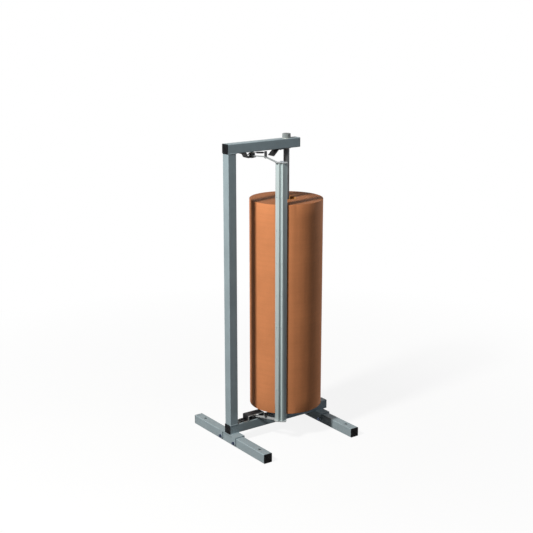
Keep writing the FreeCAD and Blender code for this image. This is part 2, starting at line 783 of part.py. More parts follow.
def tube_plug(name, x, y, z, outward):
    """A plastic plug: a rimmed cap outside the tube and a hollow skirt inside it."""
    body = new_body(name)
    cap = sketch(body)
    rectangle(cap, "Sizes.tube_side", "Sizes.tube_side")
    pad(body, cap, "Sizes.plug_cap")
    fillet(body, "Sizes.tube_corner", runs_along(Vector(0, 0, 1)))
    top = number("Sizes.plug_cap")
    fillet(body, "Sizes.plug_round", lambda edge: abs(edge.BoundBox.ZMin - top) < TOUCH)
    skirt = sketch(body, lift="-Sizes.plug_depth")
    side = "Sizes.tube_side - 2 * Sizes.tube_wall - 2 * Sizes.plug_play"
    rectangle(skirt, side, side)
    pad(body, skirt, "Sizes.plug_depth")
    skirt_corners = runs_along(Vector(0, 0, 1))
    fillet(body, "Sizes.tube_corner - Sizes.tube_wall + 2 * Sizes.plug_play",
           lambda edge: skirt_corners(edge) and edge.BoundBox.ZMin < -1)
    hollow = sketch(body, lift="-Sizes.plug_depth")
    inner = f"{side} - 2 * Sizes.plug_shell"
    rectangle(hollow, inner, inner)
    pocket(body, hollow, "Sizes.plug_depth", towards_normal=True)
    body.Placement.Rotation = Rotation(Vector(0, 0, 1), outward)
    return move(body, x, y, z)


def hex_bolt(name, x, y, z, along, grip):
    """A hexagon bolt whose head stands on its origin and whose shank runs back from it."""
    head = prism(name + "_head", "Sizes.bolt_head", "Sizes.bolt_head_height")
    shank = cylinder(name + "_shank", "Sizes.bolt_thread / 2", grip, z=f"-({grip})")
    body = fuse(name, [head, shank])
    body.Placement.Rotation = Rotation(Vector(0, 0, 1), along)
    return move(body, x, y, z)


def round_screw(name, diameter, head, height, grip, x, y, z, along):
    """A round-headed screw, made like the bolt."""
    top = cylinder(name + "_head", f"{head} / 2", height)
    shank = cylinder(name + "_shank", f"{diameter} / 2", grip, z=f"-({grip})")
    body = fuse(name, [top, shank])
    body.Placement.Rotation = Rotation(Vector(0, 0, 1), along)
    return move(body, x, y, z)


def ring(name, outer, inner, height, x="0", y="0", z="0"):
    """A round tube or washer on a vertical axis."""
    solid = cylinder(name + "_outer", f"({outer}) / 2", height, x, y, z)
    hole = cylinder(name + "_inner", f"({inner}) / 2", height, x, y, z)
    return cut(name, solid, [hole])


UP = Vector(0, 0, 1)
DOWN = Vector(0, 0, -1)
LEFT = Vector(-1, 0, 0)
RIGHT = Vector(1, 0, 0)
FRONT = Vector(0, -1, 0)
REAR = Vector(0, 1, 0)
SPRING_STEP = 15  # degrees between the points of a spring's path
LEG_PARTS = 4  # points along each straight leg of a spring


def level_step(length, degrees):
    """A level step of a given length, at an angle from +X towards +Y."""
    angle = math.radians(degrees)
    return Vector(length * math.cos(angle), length * math.sin(angle), 0)


# ---------------------------------------------------------------- frame tubes


def make_foot(label, x):
    """A foot tube along Y with its four anchor walls and two cross-bolt holes drilled."""
    foot = square_tube(label, "Sizes.foot_length")
    anchors = sketch(foot, "XZ_Plane")
    cross = sketch(foot, "YZ_Plane")
    for sign in "+-":
        circle(anchors, "Sizes.anchor_hole", "0", f"Sizes.foot_length / 2 {sign} Sizes.anchor_spacing / 2")
        circle(cross, "Sizes.bolt_hole", "Sizes.bolt_drop - Sizes.tube_side / 2",
               f"Sizes.foot_length / 2 {sign} Sizes.leg_spacing / 2")
    pocket(foot, anchors)
    pocket(foot, cross)
    foot.Placement.Rotation = Rotation(UP, REAR)
    move(foot, x, "-Sizes.foot_length / 2", "Sizes.tube_side / 2")
    return keep(foot, label)


def make_beam():
    """The base beam along X, with the spindle hole and the lower pin hole in its top wall."""
    beam = square_tube("base_beam", BEAM_LENGTH)
    openings = sketch(beam, "YZ_Plane", "-Sizes.tube_side / 2")
    circle(openings, "Sizes.guide_hole", "0", f"{SPINDLE_X} - {POST_LEFT}")
    circle(openings, "Sizes.pin_thread", "0", f"{PIVOT_X} - {POST_LEFT}")
    for x in BRIDGE_SCREW_X:
        for y in PLATE_SCREW_Y:
            circle(openings, "Sizes.plate_screw", y, f"{x} - {POST_LEFT}")
    pocket(beam, openings, "Sizes.tube_wall", towards_normal=True)
    beam.Placement.Rotation = Rotation(Vector(0, 1, 0), 90)
    move(beam, POST_LEFT, "0", f"{BEAM_LOW} + Sizes.tube_side / 2")
    return keep(beam, "base_beam")


def make_post():
    post = square_tube("post", "Sizes.post_height")
    move(post, POST_X, "0", BEAM_TOP)
    return keep(post, "post")


def make_top_arm():
    """The top arm along X, bored right through for the spindle's bushes."""
    arm = square_tube("top_arm", ARM_LENGTH)
    through = sketch(arm, "YZ_Plane")
    circle(through, "Sizes.bush_body", "0", f"{SPINDLE_X} - {POST_LEFT}")
    pocket(arm, through)
    below = sketch(arm, "YZ_Plane", "Sizes.tube_side / 2")
    circle(below, "Sizes.pin_thread", "0", f"{PIVOT_X} - {POST_LEFT}")
    for x in [HANGER_SCREW_X, STOP_SCREW_X]:
        for y in PLATE_SCREW_Y:
            circle(below, "Sizes.plate_screw", y, f"{x} - {POST_LEFT}")
    pocket(arm, below, "Sizes.tube_wall")
    arm.Placement.Rotation = Rotation(Vector(0, 1, 0), 90)
    move(arm, POST_LEFT, "0", f"{ARM_LOW} + Sizes.tube_side / 2")
    return keep(arm, "top_arm")


def make_plugs():
    """Plugs in both ends of the feet, the beam and the arm."""
    front, rear = "-Sizes.foot_length / 2", "Sizes.foot_length / 2"
    for side, x in (("left", POST_X), ("right", RIGHT_FOOT_X)):
        ends = [
            tube_plug(side + "_front_plug", x, front, "Sizes.tube_side / 2", FRONT),
            tube_plug(side + "_rear_plug", x, rear, "Sizes.tube_side / 2", REAR),
        ]
        group(side + "_foot_plugs", ends)
    middle = f"{BEAM_LOW} + Sizes.tube_side / 2"
    keep(tube_plug("beam_left_plug", POST_LEFT, "0", middle, LEFT), "beam_left_plug")
    keep(tube_plug("beam_right_plug", BEAM_RIGHT, "0", middle, RIGHT), "beam_right_plug")
    middle = f"{ARM_LOW} + Sizes.tube_side / 2"
    keep(tube_plug("arm_left_plug", POST_LEFT, "0", middle, LEFT), "arm_left_plug")
    keep(tube_plug("arm_right_plug", ARM_RIGHT, "0", middle, RIGHT), "arm_right_plug")


# ---------------------------------------------------------------- saddles

SADDLE_WIDTH = "(Sizes.tube_side + 2 * Sizes.saddle_play + 2 * Sizes.saddle_plate)"
SADDLE_SIDE = "(Sizes.tube_side / 2 + Sizes.saddle_play)"
BOLT_LEVEL = "(Sizes.tube_side - Sizes.bolt_drop)"


def make_saddle(label, x):
    """A plate over the foot with two round-ended legs down each of its sides."""
    top = box(label + "_plate", SADDLE_WIDTH, "Sizes.saddle_length", "Sizes.saddle_plate",
              f"{x} - {SADDLE_WIDTH} / 2", "-Sizes.saddle_length / 2", "Sizes.tube_side")
    solids = [top]
    holes = []
    for end in "+-":
        y = f"({end}Sizes.leg_spacing / 2)"
        for side, low in (("left", f"{x} - {SADDLE_WIDTH} / 2"), ("right", f"{x} + {SADDLE_SIDE}")):
            name = f"{label}_{side}_leg"
            solids.append(box(name, "Sizes.saddle_plate", "Sizes.leg_width", "Sizes.bolt_drop",
                              low, f"{y} - Sizes.leg_width / 2", BOLT_LEVEL))
            solids.append(cylinder(name + "_end", "Sizes.leg_width / 2", "Sizes.saddle_plate",
                                   low, y, BOLT_LEVEL, RIGHT))
        holes.append(cylinder(label + "_hole", "Sizes.bolt_hole / 2", SADDLE_WIDTH,
                              f"{x} - {SADDLE_WIDTH} / 2", y, BOLT_LEVEL, RIGHT))
    return keep(cut(label, fuse(label + "_blank", solids), holes), label)


def make_saddle_fasteners():
    """Four cross bolts through the saddle legs and feet, each with two washers and a nut."""
    grip = f"{SADDLE_WIDTH} + 2 * Sizes.washer_plate + Sizes.bolt_nut_height + Sizes.bolt_end"
    bolts, washers, nuts = [], [], []
    for foot, x in (("left", POST_X), ("right", RIGHT_FOOT_X)):
        for sign in "+-":
            y = f"({sign}Sizes.leg_spacing / 2)"
            near = f"{x} - {SADDLE_WIDTH} / 2"
            far = f"{x} + {SADDLE_WIDTH} / 2"
            bolts.append(hex_bolt(foot + "_bolt", f"{near} - Sizes.washer_plate", y, BOLT_LEVEL, LEFT, grip))
            for start in (f"{near} - Sizes.washer_plate", far):
                disc = cylinder(foot + "_washer_disc", "Sizes.washer_side / 2", "Sizes.washer_plate",
                                start, y, BOLT_LEVEL, RIGHT)
                hole = cylinder(foot + "_washer_hole", "Sizes.bolt_hole / 2", "Sizes.washer_plate",
                                start, y, BOLT_LEVEL, RIGHT)
                washers.append(cut(foot + "_washer", disc, [hole]))
            start = f"{far} + Sizes.washer_plate"
            hexagon = prism(foot + "_nut_hexagon", "Sizes.bolt_head", "Sizes.bolt_nut_height",
                            start, y, BOLT_LEVEL, RIGHT)
            thread = cylinder(foot + "_nut_thread", "Sizes.bolt_thread / 2", "Sizes.bolt_nut_height",
                              start, y, BOLT_LEVEL, RIGHT)
            nuts.append(cut(foot + "_nut", hexagon, [thread]))
    group("saddle_bolts", bolts)
    group("saddle_washers", washers)
    group("saddle_nuts", nuts)


# ---------------------------------------------------------------- lower hinge

PLATE_SCREW_Y = ("(-Sizes.plate_screw_spread / 2)", "(Sizes.plate_screw_spread / 2)")
BRIDGE_SCREW_X = (
    f"({PIVOT_X} - Sizes.bridge_left - Sizes.bridge_flange / 2)",
    f"({PIVOT_X} + Sizes.bridge_right + Sizes.bridge_flange / 2)",
)
HANGER_SCREW_X = (
    f"({PIVOT_X} - Sizes.hanger_reach - Sizes.hanger_slope - Sizes.hanger_plate - Sizes.hanger_flange / 2)"
)
STOP_SCREW_X = f"({STOP_X} + Sizes.stop_plate + Sizes.stop_flange / 2)"
BRIDGE_WEB_LOW = f"({BEAM_TOP} + Sizes.bridge_height - Sizes.bridge_plate)"


def make_lower_bridge():
    """A strap bent into a bridge: two screw flanges on the beam, two legs and the web."""
    body = new_body("lower_hinge_bridge")
    profile = sketch(body, "XZ_Plane")
    plate, top = "Sizes.bridge_plate", "Sizes.bridge_height"
    left, right = "-Sizes.bridge_left", "Sizes.bridge_right"
    outline(profile, [
        (f"{left} - Sizes.bridge_flange", "0"),
        (f"{left} + {plate}", "0"),
        (f"{left} + {plate}", f"{top} - {plate}"),
        (f"{right} - {plate}", f"{top} - {plate}"),
        (f"{right} - {plate}", "0"),
        (f"{right} + Sizes.bridge_flange", "0"),
        (f"{right} + Sizes.bridge_flange", plate),
        (right, plate),
        (right, top),
        (left, top),
        (left, plate),
        (f"{left} - Sizes.bridge_flange", plate),
    ])
    pad(body, profile, "Sizes.tube_side", symmetric=True)
    height = number("Sizes.bridge_height")
    across = runs_along(REAR)
    fillet(body, "Sizes.bridge_plate", lambda edge: across(edge) and edge.BoundBox.ZMin > height - TOUCH)
    holes = sketch(body)
    circle(holes, "Sizes.pin_thread")
    for x in BRIDGE_SCREW_X:
        for y in PLATE_SCREW_Y:
            circle(holes, "Sizes.plate_screw", f"{x} - {PIVOT_X}", y)
    pocket(body, holes)
    move(body, PIVOT_X, "0", BEAM_TOP)
    return keep(body, "lower_hinge_bridge")


def make_plate_screws():
    """The screws of the bridge, the upper bracket and the stop."""
    def screws(label, places, level, along):
        made = []
        for x in places:
            for y in PLATE_SCREW_Y:
                made.append(round_screw(label + "_one", "Sizes.plate_screw", "Sizes.plate_screw_head",
                                        "Sizes.plate_screw_height", "Sizes.plate_screw_grip",
                                        x, y, level, along))
        group(label, made)

    screws("bridge_screws", BRIDGE_SCREW_X, f"{BEAM_TOP} + Sizes.bridge_plate", UP)
    screws("bracket_screws", [HANGER_SCREW_X], f"{ARM_LOW} - Sizes.hanger_plate", DOWN)
    screws("stop_screws", [STOP_SCREW_X], f"{ARM_LOW} - Sizes.stop_plate", DOWN)


def make_hinge_pins():
    """Headed pins on the common pivot line, and the weld nuts inside the tubes that hold them."""
    lower_grip = "Sizes.bridge_height + Sizes.tube_wall + Sizes.nut_height"
    upper_grip = "Sizes.hanger_drop + Sizes.tube_wall + Sizes.nut_height"
    lower = round_screw("lower_hinge_pin", "Sizes.pin_thread", "Sizes.pin_head", "Sizes.pin_head_height",
                        lower_grip, PIVOT_X, "0", f"{BEAM_TOP} + Sizes.bridge_height", UP)
    upper = round_screw("upper_hinge_pin", "Sizes.pin_thread", "Sizes.pin_head", "Sizes.pin_head_height",
                        upper_grip, PIVOT_X, "0", f"{ARM_LOW} - Sizes.hanger_drop", DOWN)
    keep(lower, "lower_hinge_pin")
    keep(upper, "upper_hinge_pin")
    nuts = []
    levels = (f"{BEAM_TOP} - Sizes.tube_wall - Sizes.nut_height", f"{ARM_LOW} + Sizes.tube_wall")
    for level in levels:
        hexagon = prism("hinge_nut_hexagon", "Sizes.nut_flats", "Sizes.nut_height", PIVOT_X, "0", level)
        thread = cylinder("hinge_nut_thread", "Sizes.pin_thread / 2", "Sizes.nut_height",
                          PIVOT_X, "0", level)
        nuts.append(cut("hinge_nut", hexagon, [thread]))
    group("hinge_nuts", nuts)


def make_spools():
    """Nylon spools that carry the springs and space the arms, and the two thrust washers."""
    outer = "Sizes.pin_thread + 2 * Sizes.spool_wall"
    lower = ring("lower_spring_spool", outer, "Sizes.pin_thread", "Sizes.lower_room - Sizes.hinge_play / 2",
                 PIVOT_X, "0", BEAM_TOP)
    start = f"{UPPER_ARM_LOW} + Sizes.arm_plate + Sizes.hinge_play / 2"
    upper = ring("upper_spring_spool", outer, "Sizes.pin_thread", f"{ARM_LOW} - ({start})",
                 PIVOT_X, "0", start)
    keep(lower, "lower_spring_spool")
    keep(upper, "upper_spring_spool")
    spacer_low = f"{RAIL_LOW} + Sizes.hinge_play / 2"
    washers = [
        ring("lower_thrust_spacer", outer, "Sizes.pin_thread", f"{BRIDGE_WEB_LOW} - ({spacer_low})",
             PIVOT_X, "0", spacer_low),
        ring("upper_thrust_washer", outer, "Sizes.pin_thread", "Sizes.thrust_washer",
             PIVOT_X, "0", TONGUE_TOP),
    ]
    group("thrust_washers", washers)


# ---------------------------------------------------------------- upper hinge and stop


def make_upper_bracket():
    """A strap screwed under the arm, with a sloping leg and a round-ended tongue for the pin."""
    body = new_body("upper_hinge_bracket")
    profile = sketch(body, "XZ_Plane")
    plate, drop = "Sizes.hanger_plate", "-Sizes.hanger_drop"
    foot = "-Sizes.hanger_reach"
    head = f"{foot} - Sizes.hanger_slope"
    outline(profile, [
        (f"{head} - {plate} - Sizes.hanger_flange", "0"),
        (f"{head} - {plate} - Sizes.hanger_flange", f"-{plate}"),
        (f"{head} - {plate}", f"-{plate}"),
        (f"{foot} - {plate}", drop),
        ("0", drop),
        ("0", f"{drop} + {plate}"),
        (foot, f"{drop} + {plate}"),
        (head, "0"),
    ])
    pad(body, profile, "Sizes.hanger_width", symmetric=True)
    tongue = sketch(body, lift=drop)
    circle(tongue, "Sizes.hanger_width")
    pad(body, tongue, plate)
    holes = sketch(body)
    circle(holes, "Sizes.pin_thread")
    for y in PLATE_SCREW_Y:
        circle(holes, "Sizes.plate_screw", f"{HANGER_SCREW_X} - {PIVOT_X}", y)
    pocket(body, holes)
    move(body, PIVOT_X, "0", ARM_LOW)
    return keep(body, "upper_hinge_bracket")


def make_arm_stop():
    """A strap under the arm whose leaf slopes back and stops the upper cutter arm."""
    body = new_body("arm_stop")
    profile = sketch(body, "XZ_Plane")
    plate, drop, slope = "Sizes.stop_plate", "Sizes.stop_drop", "Sizes.stop_angle"
    reach = f"-{drop} / tan({slope})"
    outline(profile, [
        ("0", "0"),
        (reach, f"-{drop}"),
        (f"{reach} + {plate} * sin({slope})", f"-{drop} - {plate} * cos({slope})"),
        (f"{plate} * tan({slope} / 2)", f"-{plate}"),
        (f"{plate} + Sizes.stop_flange", f"-{plate}"),
        (f"{plate} + Sizes.stop_flange", "0"),
    ])
    pad(body, profile, "Sizes.tube_side", symmetric=True)
    holes = sketch(body)
    for y in PLATE_SCREW_Y:
        circle(holes, "Sizes.plate_screw", f"{STOP_SCREW_X} - {STOP_X}", y)
    pocket(body, holes)
    move(body, STOP_X, "0", ARM_LOW)
    return keep(body, "arm_stop")


# ---------------------------------------------------------------- springs


def torsion_spring(label, level, wall, leg_rise):
    """A coil round the pivot: one leg lies against a plate, the other pushes the arm's stud."""
    wire = number("Sizes.spring_wire")
    radius = number("Sizes.spring_radius")
    reach = number("Sizes.stud_reach")
    offset = (number("Sizes.stud_side") + wire) / 2
    arm_angle = number(ARM_TURN)
    # The leg leaves the coil on the roll side of the pivot and lies against the stud's post side.
    lean = -math.degrees(math.asin((radius + offset) / reach))
    sweep = number("Sizes.spring_whole_turns") * 360 + (-arm_angle - lean) % 360
    rise = number("Sizes.spring_pitch") * sweep / 360
    leg_length = reach * math.cos(math.radians(lean)) + number("Sizes.spring_tail")
    direction = level_step(leg_length, arm_angle + lean)

    steps = round(sweep / SPRING_STEP)
    coil = [level_step(radius, 90 - sweep * i / steps) + UP * (rise * i / steps) for i in range(steps + 1)]
    parts = range(1, LEG_PARTS + 1)
    fixed_leg = [coil[0] + LEFT * (number(wall) * i / LEG_PARTS) for i in reversed(parts)]
    moving_leg = [coil[-1] + (direction + UP * leg_rise) * (i / LEG_PARTS) for i in parts]
    path = Part.BSplineCurve()
    path.interpolate(fixed_leg + coil + moving_leg)
    section = Part.Wire(Part.makeCircle(wire / 2, fixed_leg[0], LEFT))

    spring = doc.addObject("Part::Feature", label)
    spring.Shape = Part.Wire(path.toShape()).makePipeShell([section], True, False)
    move(spring, PIVOT_X, "0", level)
    return keep(spring, label)


def make_springs():
    torsion_spring("lower_spring", f"{BEAM_TOP} + Sizes.spring_lift",
                   "Sizes.bridge_left - Sizes.bridge_plate - Sizes.hinge_play", 0)
    lift = "(Sizes.arm_plate + Sizes.hinge_play + Sizes.spring_lift)"
    slope = "Sizes.hanger_slope / (Sizes.hanger_drop - Sizes.hanger_plate)"
    rise = f"({UPPER_ARM_LOW} + {lift} - Sizes.spring_wire / 2 - {TONGUE_TOP})"
    torsion_spring("upper_spring", f"{UPPER_ARM_LOW} + {lift}",
                   f"Sizes.hanger_reach + {rise} * {slope} - Sizes.hinge_play",
                   number("Sizes.leg_rise"))


# ---------------------------------------------------------------- cutter arms


def end_pad(name, level):
    """The rounded end pad of a cutter arm, in the cutter bar's own directions."""
    body = new_body(name)
    drawn = sketch(body)
    rectangle(drawn, "Sizes.pad_width", "Sizes.pad_depth", "0", "Sizes.pad_depth / 2 - Sizes.pad_inset")
    pad(body, drawn, "Sizes.arm_plate")
    fillet(body, "Sizes.pad_round", runs_along(UP))
    return move(body, BAR_X, BAR_Y, level, BAR_TURN)


def pad_holes(name, level):
    """Clearance holes for the two screws of an end pad."""
    made = []
    for across, out in PAD_SCREW_PLACES:
        x, y = bar_point(across, out)
        made.append(cylinder(name, "Sizes.pad_screw / 2", "Sizes.arm_plate", x, y, level))
    return made


def bar_point(across, out):
    """Row-frame expressions for a point given in the cutter bar's frame."""
    x = f"({BAR_X} + ({across}) * cos({BAR_TURN}) - ({out}) * sin({BAR_TURN}))"
    y = f"({BAR_Y} + ({across}) * sin({BAR_TURN}) + ({out}) * cos({BAR_TURN}))"
    return x, y


PAD_SCREW_PLACES = (
    ("Sizes.inner_screw_side", "Sizes.inner_screw_front"),
    ("(-Sizes.outer_screw_side)", "Sizes.outer_screw_front"),
)
STUD_X = f"({PIVOT_X} + Sizes.stud_reach * cos({ARM_TURN}))"
STUD_Y = f"(Sizes.stud_reach * sin({ARM_TURN}))"
EYE_BORE = "(Sizes.pin_thread / 2 + Sizes.pin_play + Sizes.bush_wall)"


def arm_holes(name, level, pad_level):
    """The eye's bore, the stud's rivet hole and the pad's screw holes."""
    eye = cylinder(name + "_eye_bore", EYE_BORE, "Sizes.arm_plate", PIVOT_X, "0", level)
    return [eye] + pad_holes(name + "_pad_hole", pad_level)


def make_lower_arm():
    """A flat arm that widens towards its end pad, under the cutter rail."""
    eye = cylinder("lower_arm_eye", "Sizes.arm_eye", "Sizes.arm_plate", PIVOT_X, "0", LOWER_ARM_LOW)
    strip = new_body("lower_arm_strip")
    drawn = sketch(strip)
    half = "Sizes.arm_width / 2"
    outline(drawn, [
        ("0", f"-{half}"),
        (ARM_REACH, f"-{half}"),
        (ARM_REACH, f"{half} + Sizes.widening"),
        ("Sizes.widening_end", f"{half} + Sizes.widening"),
        ("Sizes.widening_start", half),
        ("0", half),
    ])
    pad(strip, drawn, "Sizes.arm_plate")
    move(strip, PIVOT_X, "0", LOWER_ARM_LOW, ARM_TURN)
    blank = fuse("lower_arm_blank", [eye, strip, end_pad("lower_arm_pad", LOWER_ARM_LOW)])
    holes = arm_holes("lower_arm", LOWER_ARM_LOW, LOWER_ARM_LOW)
    return keep(cut("lower_cutter_arm", blank, holes), "lower_cutter_arm")


def make_upper_arm():
    """A flat arm that steps down to its end pad, on top of the cutter rail."""
    eye = cylinder("upper_arm_eye", "Sizes.arm_eye", "Sizes.arm_plate", PIVOT_X, "0", UPPER_ARM_LOW)
    strip = new_body("upper_arm_strip")
    drawn = sketch(strip, "XZ_Plane")
    plate, drop = "Sizes.arm_plate", "Sizes.arm_drop"
    run = "(Sizes.bend_end - Sizes.bend_start)"
    shift = f"{plate} * tan(atan2({drop}; {run}) / 2)"
    outline(drawn, [
        ("0", "0"),
        ("Sizes.bend_start", "0"),
        ("Sizes.bend_end", f"-{drop}"),
        (ARM_REACH, f"-{drop}"),
        (ARM_REACH, f"{plate} - {drop}"),
        (f"Sizes.bend_end + {shift}", f"{plate} - {drop}"),
        (f"Sizes.bend_start + {shift}", plate),
        ("0", plate),
    ])
    pad(strip, drawn, "Sizes.arm_width", symmetric=True)
    move(strip, PIVOT_X, "0", UPPER_ARM_LOW, ARM_TURN)
    blank = fuse("upper_arm_blank", [eye, strip, end_pad("upper_arm_pad", RAIL_TOP)])
    holes = arm_holes("upper_arm", UPPER_ARM_LOW, RAIL_TOP)
    return keep(cut("upper_cutter_arm", blank, holes), "upper_cutter_arm")


def make_arm_details():
    """The nylon bushes in the arms' eyes and the studs that the springs push."""
    bushes = []
    for name, level in (("lower_arm_bush", LOWER_ARM_LOW), ("upper_arm_bush", UPPER_ARM_LOW)):
        bushes.append(ring(name, f"2 * {EYE_BORE}", "Sizes.pin_thread + 2 * Sizes.pin_play",
                           "Sizes.arm_plate", PIVOT_X, "0", level))
    group("arm_bushes", bushes)
    lower = cylinder("lower_stud", "Sizes.stud_side / 2", "Sizes.lower_stud_height",
                     STUD_X, STUD_Y, f"{LOWER_ARM_LOW} - Sizes.lower_stud_height")
    upper = cylinder("upper_stud", "Sizes.stud_side / 2", "Sizes.upper_stud_height",
                     STUD_X, STUD_Y, f"{UPPER_ARM_LOW} + Sizes.arm_plate")
    group("spring_studs", [lower, upper])


# ---------------------------------------------------------------- cutter bar


def sheet_strip(points, thickness, length, low):
    """A bent strip: the outer faces follow the points, the thickness lies on their right."""
    inner = []
    last = len(points) - 1
    for i, point in enumerate(points):
        sides = []
        if i > 0:
            sides.append((point - points[i - 1]).normalize())
        if i < last:
            sides.append((points[i + 1] - point).normalize())
        normals = [Vector(side.y, -side.x, 0) for side in sides]
        total = Vector(0, 0, 0)
        for normal in normals:
            total = total + normal
        inner.append(point + total * (thickness * len(normals) / total.dot(total)))
    loop = points + inner[::-1]
    face = Part.Face(Part.makePolygon(loop + [loop[0]]))
    face.translate(Vector(0, 0, low))
    return face.extrude(Vector(0, 0, length))


def bar_feature(label, shape):
    """A formed piece of the cutter bar, placed in the bar's frame."""
    made = doc.addObject("Part::Feature", label)
    made.Shape = shape
    move(made, BAR_X, BAR_Y, RAIL_LOW, BAR_TURN)
    return keep(made, label)


RIDGE = Vector(-number("Sizes.ridge_shift"), number("Sizes.ridge_height"), 0)
FACE_ANGLE = number("Sizes.ridge_angle")
GROOVE = RIDGE + level_step(number("Sizes.ridge_face"), -FACE_ANGLE)
HOLDER_TOP = GROOVE + level_step(number("Sizes.groove_face"), 90 - FACE_ANGLE)
HOLDER_EDGE = HOLDER_TOP + level_step(number("Sizes.holder_face"), -number("Sizes.holder_angle"))
OUTER_FOOT = RIDGE + level_step(number("Sizes.outer_face"), 180 + FACE_ANGLE)
LIP_END = OUTER_FOOT + level_step(number("Sizes.rail_lip"), 270)
RAIL_SPAN = number(RAIL_LENGTH)


def rail_shape():
    """The ridged rail: a face up to the ridge, a face beyond it and a lip on the paper."""
    points = [GROOVE, RIDGE, OUTER_FOOT, LIP_END][::-1]
    thickness = number("Sizes.rail_sheet")
    return sheet_strip(points, thickness, RAIL_SPAN, 0)


def holder_shape():
    """The blade holder: a face above the blade, the groove and a tongue under the rail."""
    bend = GROOVE - level_step(number("Sizes.rail_sheet"), 90 - FACE_ANGLE)
    tongue = bend + level_step(number("Sizes.holder_tongue"), 180 - FACE_ANGLE)
    points = [tongue, bend, HOLDER_TOP, HOLDER_EDGE]
    thickness = number("Sizes.holder_sheet")
    return sheet_strip(points, thickness, RAIL_SPAN, 0)


def holder_frame(distance):
    """A point on the holder's face, measured from its lower edge, and the way out of that face."""
    slope = number("Sizes.holder_angle")
    point = HOLDER_EDGE + level_step(distance, 180 - slope)
    return point, level_step(1, 90 - slope)


def blade_shape():
    """A flat steel strip inside the holder's face, its edge standing past the holder."""
    gap = number("Sizes.blade_end_gap")
    edge, out = holder_frame(-number("Sizes.blade_reach"))
    back, _ = holder_frame(number("Sizes.blade_width") - number("Sizes.blade_reach"))
    inset = out * number("Sizes.holder_sheet")
    points = [back - inset, edge - inset]
    return sheet_strip(points, number("Sizes.blade_plate"), RAIL_SPAN - 2 * gap, gap)


def along_rail():
    """Heights of the evenly pitched fasteners, about the middle of the rail."""
    count = int(round(number("Sizes.fastener_count")))
    pitch = number("Sizes.fastener_pitch")
    return [RAIL_SPAN / 2 + pitch * (i - (count - 1) / 2) for i in range(count)]


def pin_through(point, out, diameter, head, head_height, depth):
    """A round head on a face and its shank through the sheets behind it."""
    shank = Part.makeCylinder(diameter / 2, depth, point, out * -1)
    top = Part.makeCylinder(head / 2, head_height, point, out)
    return top.fuse(shank).removeSplitter()


def hexagon_on(point, out, flats, height, bore):
    """A hexagon nut standing on a face, its bore along the same line."""
    radius = flats / 2 / math.cos(math.pi / 6)
    side = out.cross(UP)
    corners = []
    for i in range(6):
        angle = math.pi / 3 * i
        corners.append(point + side * (radius * math.cos(angle)) + UP * (radius * math.sin(angle)))
    face = Part.Face(Part.makePolygon(corners + [corners[0]]))
    return face.extrude(out * height).cut(Part.makeCylinder(bore / 2, height, point, out))


def make_blade_fasteners():
    """Screws and nuts that clamp the blade to its holder, and rivets from holder to rail."""
    middle = (number("Sizes.blade_width") - number("Sizes.blade_reach")) / 2
    point, out = holder_frame(middle)
    stack = number("Sizes.holder_sheet") + number("Sizes.blade_plate")
    nut = number("Sizes.blade_nut_height")
    tongue_point = GROOVE + level_step(number("Sizes.holder_tongue") / 2, 180 - FACE_ANGLE)
    tongue_out = level_step(1, 90 - FACE_ANGLE)
    rivet_stack = number("Sizes.rail_sheet") + number("Sizes.holder_sheet")
    tail = number("Sizes.rivet_head_height")
    screws, nuts, rivets = [], [], []
    for height in along_rail():
        lift = Vector(0, 0, height)
        screws.append(pin_through(point + lift, out, number("Sizes.blade_screw"),
                                  number("Sizes.blade_screw_head"), number("Sizes.blade_screw_height"),
                                  stack + nut))
        nuts.append(hexagon_on(point + lift - out * (stack + nut), out, number("Sizes.blade_screw_head"),
                               nut, number("Sizes.blade_screw")))
        body = pin_through(tongue_point + lift, tongue_out, number("Sizes.rivet"),
                           number("Sizes.rivet_head"), tail, rivet_stack)
        closed = Part.makeCylinder(number("Sizes.rivet_head") / 2, tail,
                                   tongue_point + lift - tongue_out * (rivet_stack + tail), tongue_out)
        rivets.append(body.fuse(closed).removeSplitter())
    return screws, nuts, rivets


def make_bar():
    """The rail, holder and blade with the screws, nuts and rivets that join them."""
    screws, nuts, rivets = make_blade_fasteners()
    rail, holder, blade = rail_shape(), holder_shape(), blade_shape()
    bar_feature("cutter_rail", rail.cut(rivets))
    bar_feature("blade_holder", holder.cut(rivets + screws))
    bar_feature("cutting_blade", blade.cut(screws))
    bar_feature("blade_screws", Part.makeCompound(screws))
    bar_feature("blade_nuts", Part.makeCompound(nuts))
    bar_feature("rail_rivets", Part.makeCompound(rivets))


def make_end_blocks():
    """Tapped blocks under the groove that rest against the rail's outer face, at both its ends."""
    slope = "Sizes.ridge_angle"
    top = f"Sizes.ridge_height - Sizes.rail_sheet / cos({slope})"
    groove = f"Sizes.ridge_height - Sizes.ridge_face * sin({slope}) - Sizes.rail_sheet * cos({slope})"
    flat = f"{groove} - Sizes.holder_sheet * (cos({slope}) + sin({slope})) - Sizes.hinge_play"
    side = "Sizes.block_low + Sizes.block_side"
    left = "Sizes.block_left"
    inner = f"-(Sizes.ridge_shift + ({top} - ({flat})) / tan({slope}))"
    right = f"-(Sizes.ridge_shift + ({top} - ({side})) / tan({slope}))"
    made = []
    levels = (RAIL_LOW, f"{RAIL_TOP} - Sizes.block_height")
    for name, level in zip(("lower_end_block", "upper_end_block"), levels):
        body = new_body(name)
        drawn = sketch(body)
        outline(drawn, [
            (left, "Sizes.block_low"),
            (left, flat),
            (inner, flat),
            (right, side),
            (right, "Sizes.block_low"),
        ])
        pad(body, drawn, "Sizes.block_height")
        holes = sketch(body)
        for across, out in PAD_SCREW_PLACES:
            circle(holes, "Sizes.pad_screw", across, out)
        pocket(body, holes)
        made.append(move(body, BAR_X, BAR_Y, level, BAR_TURN))
    group("rail_end_blocks", made)


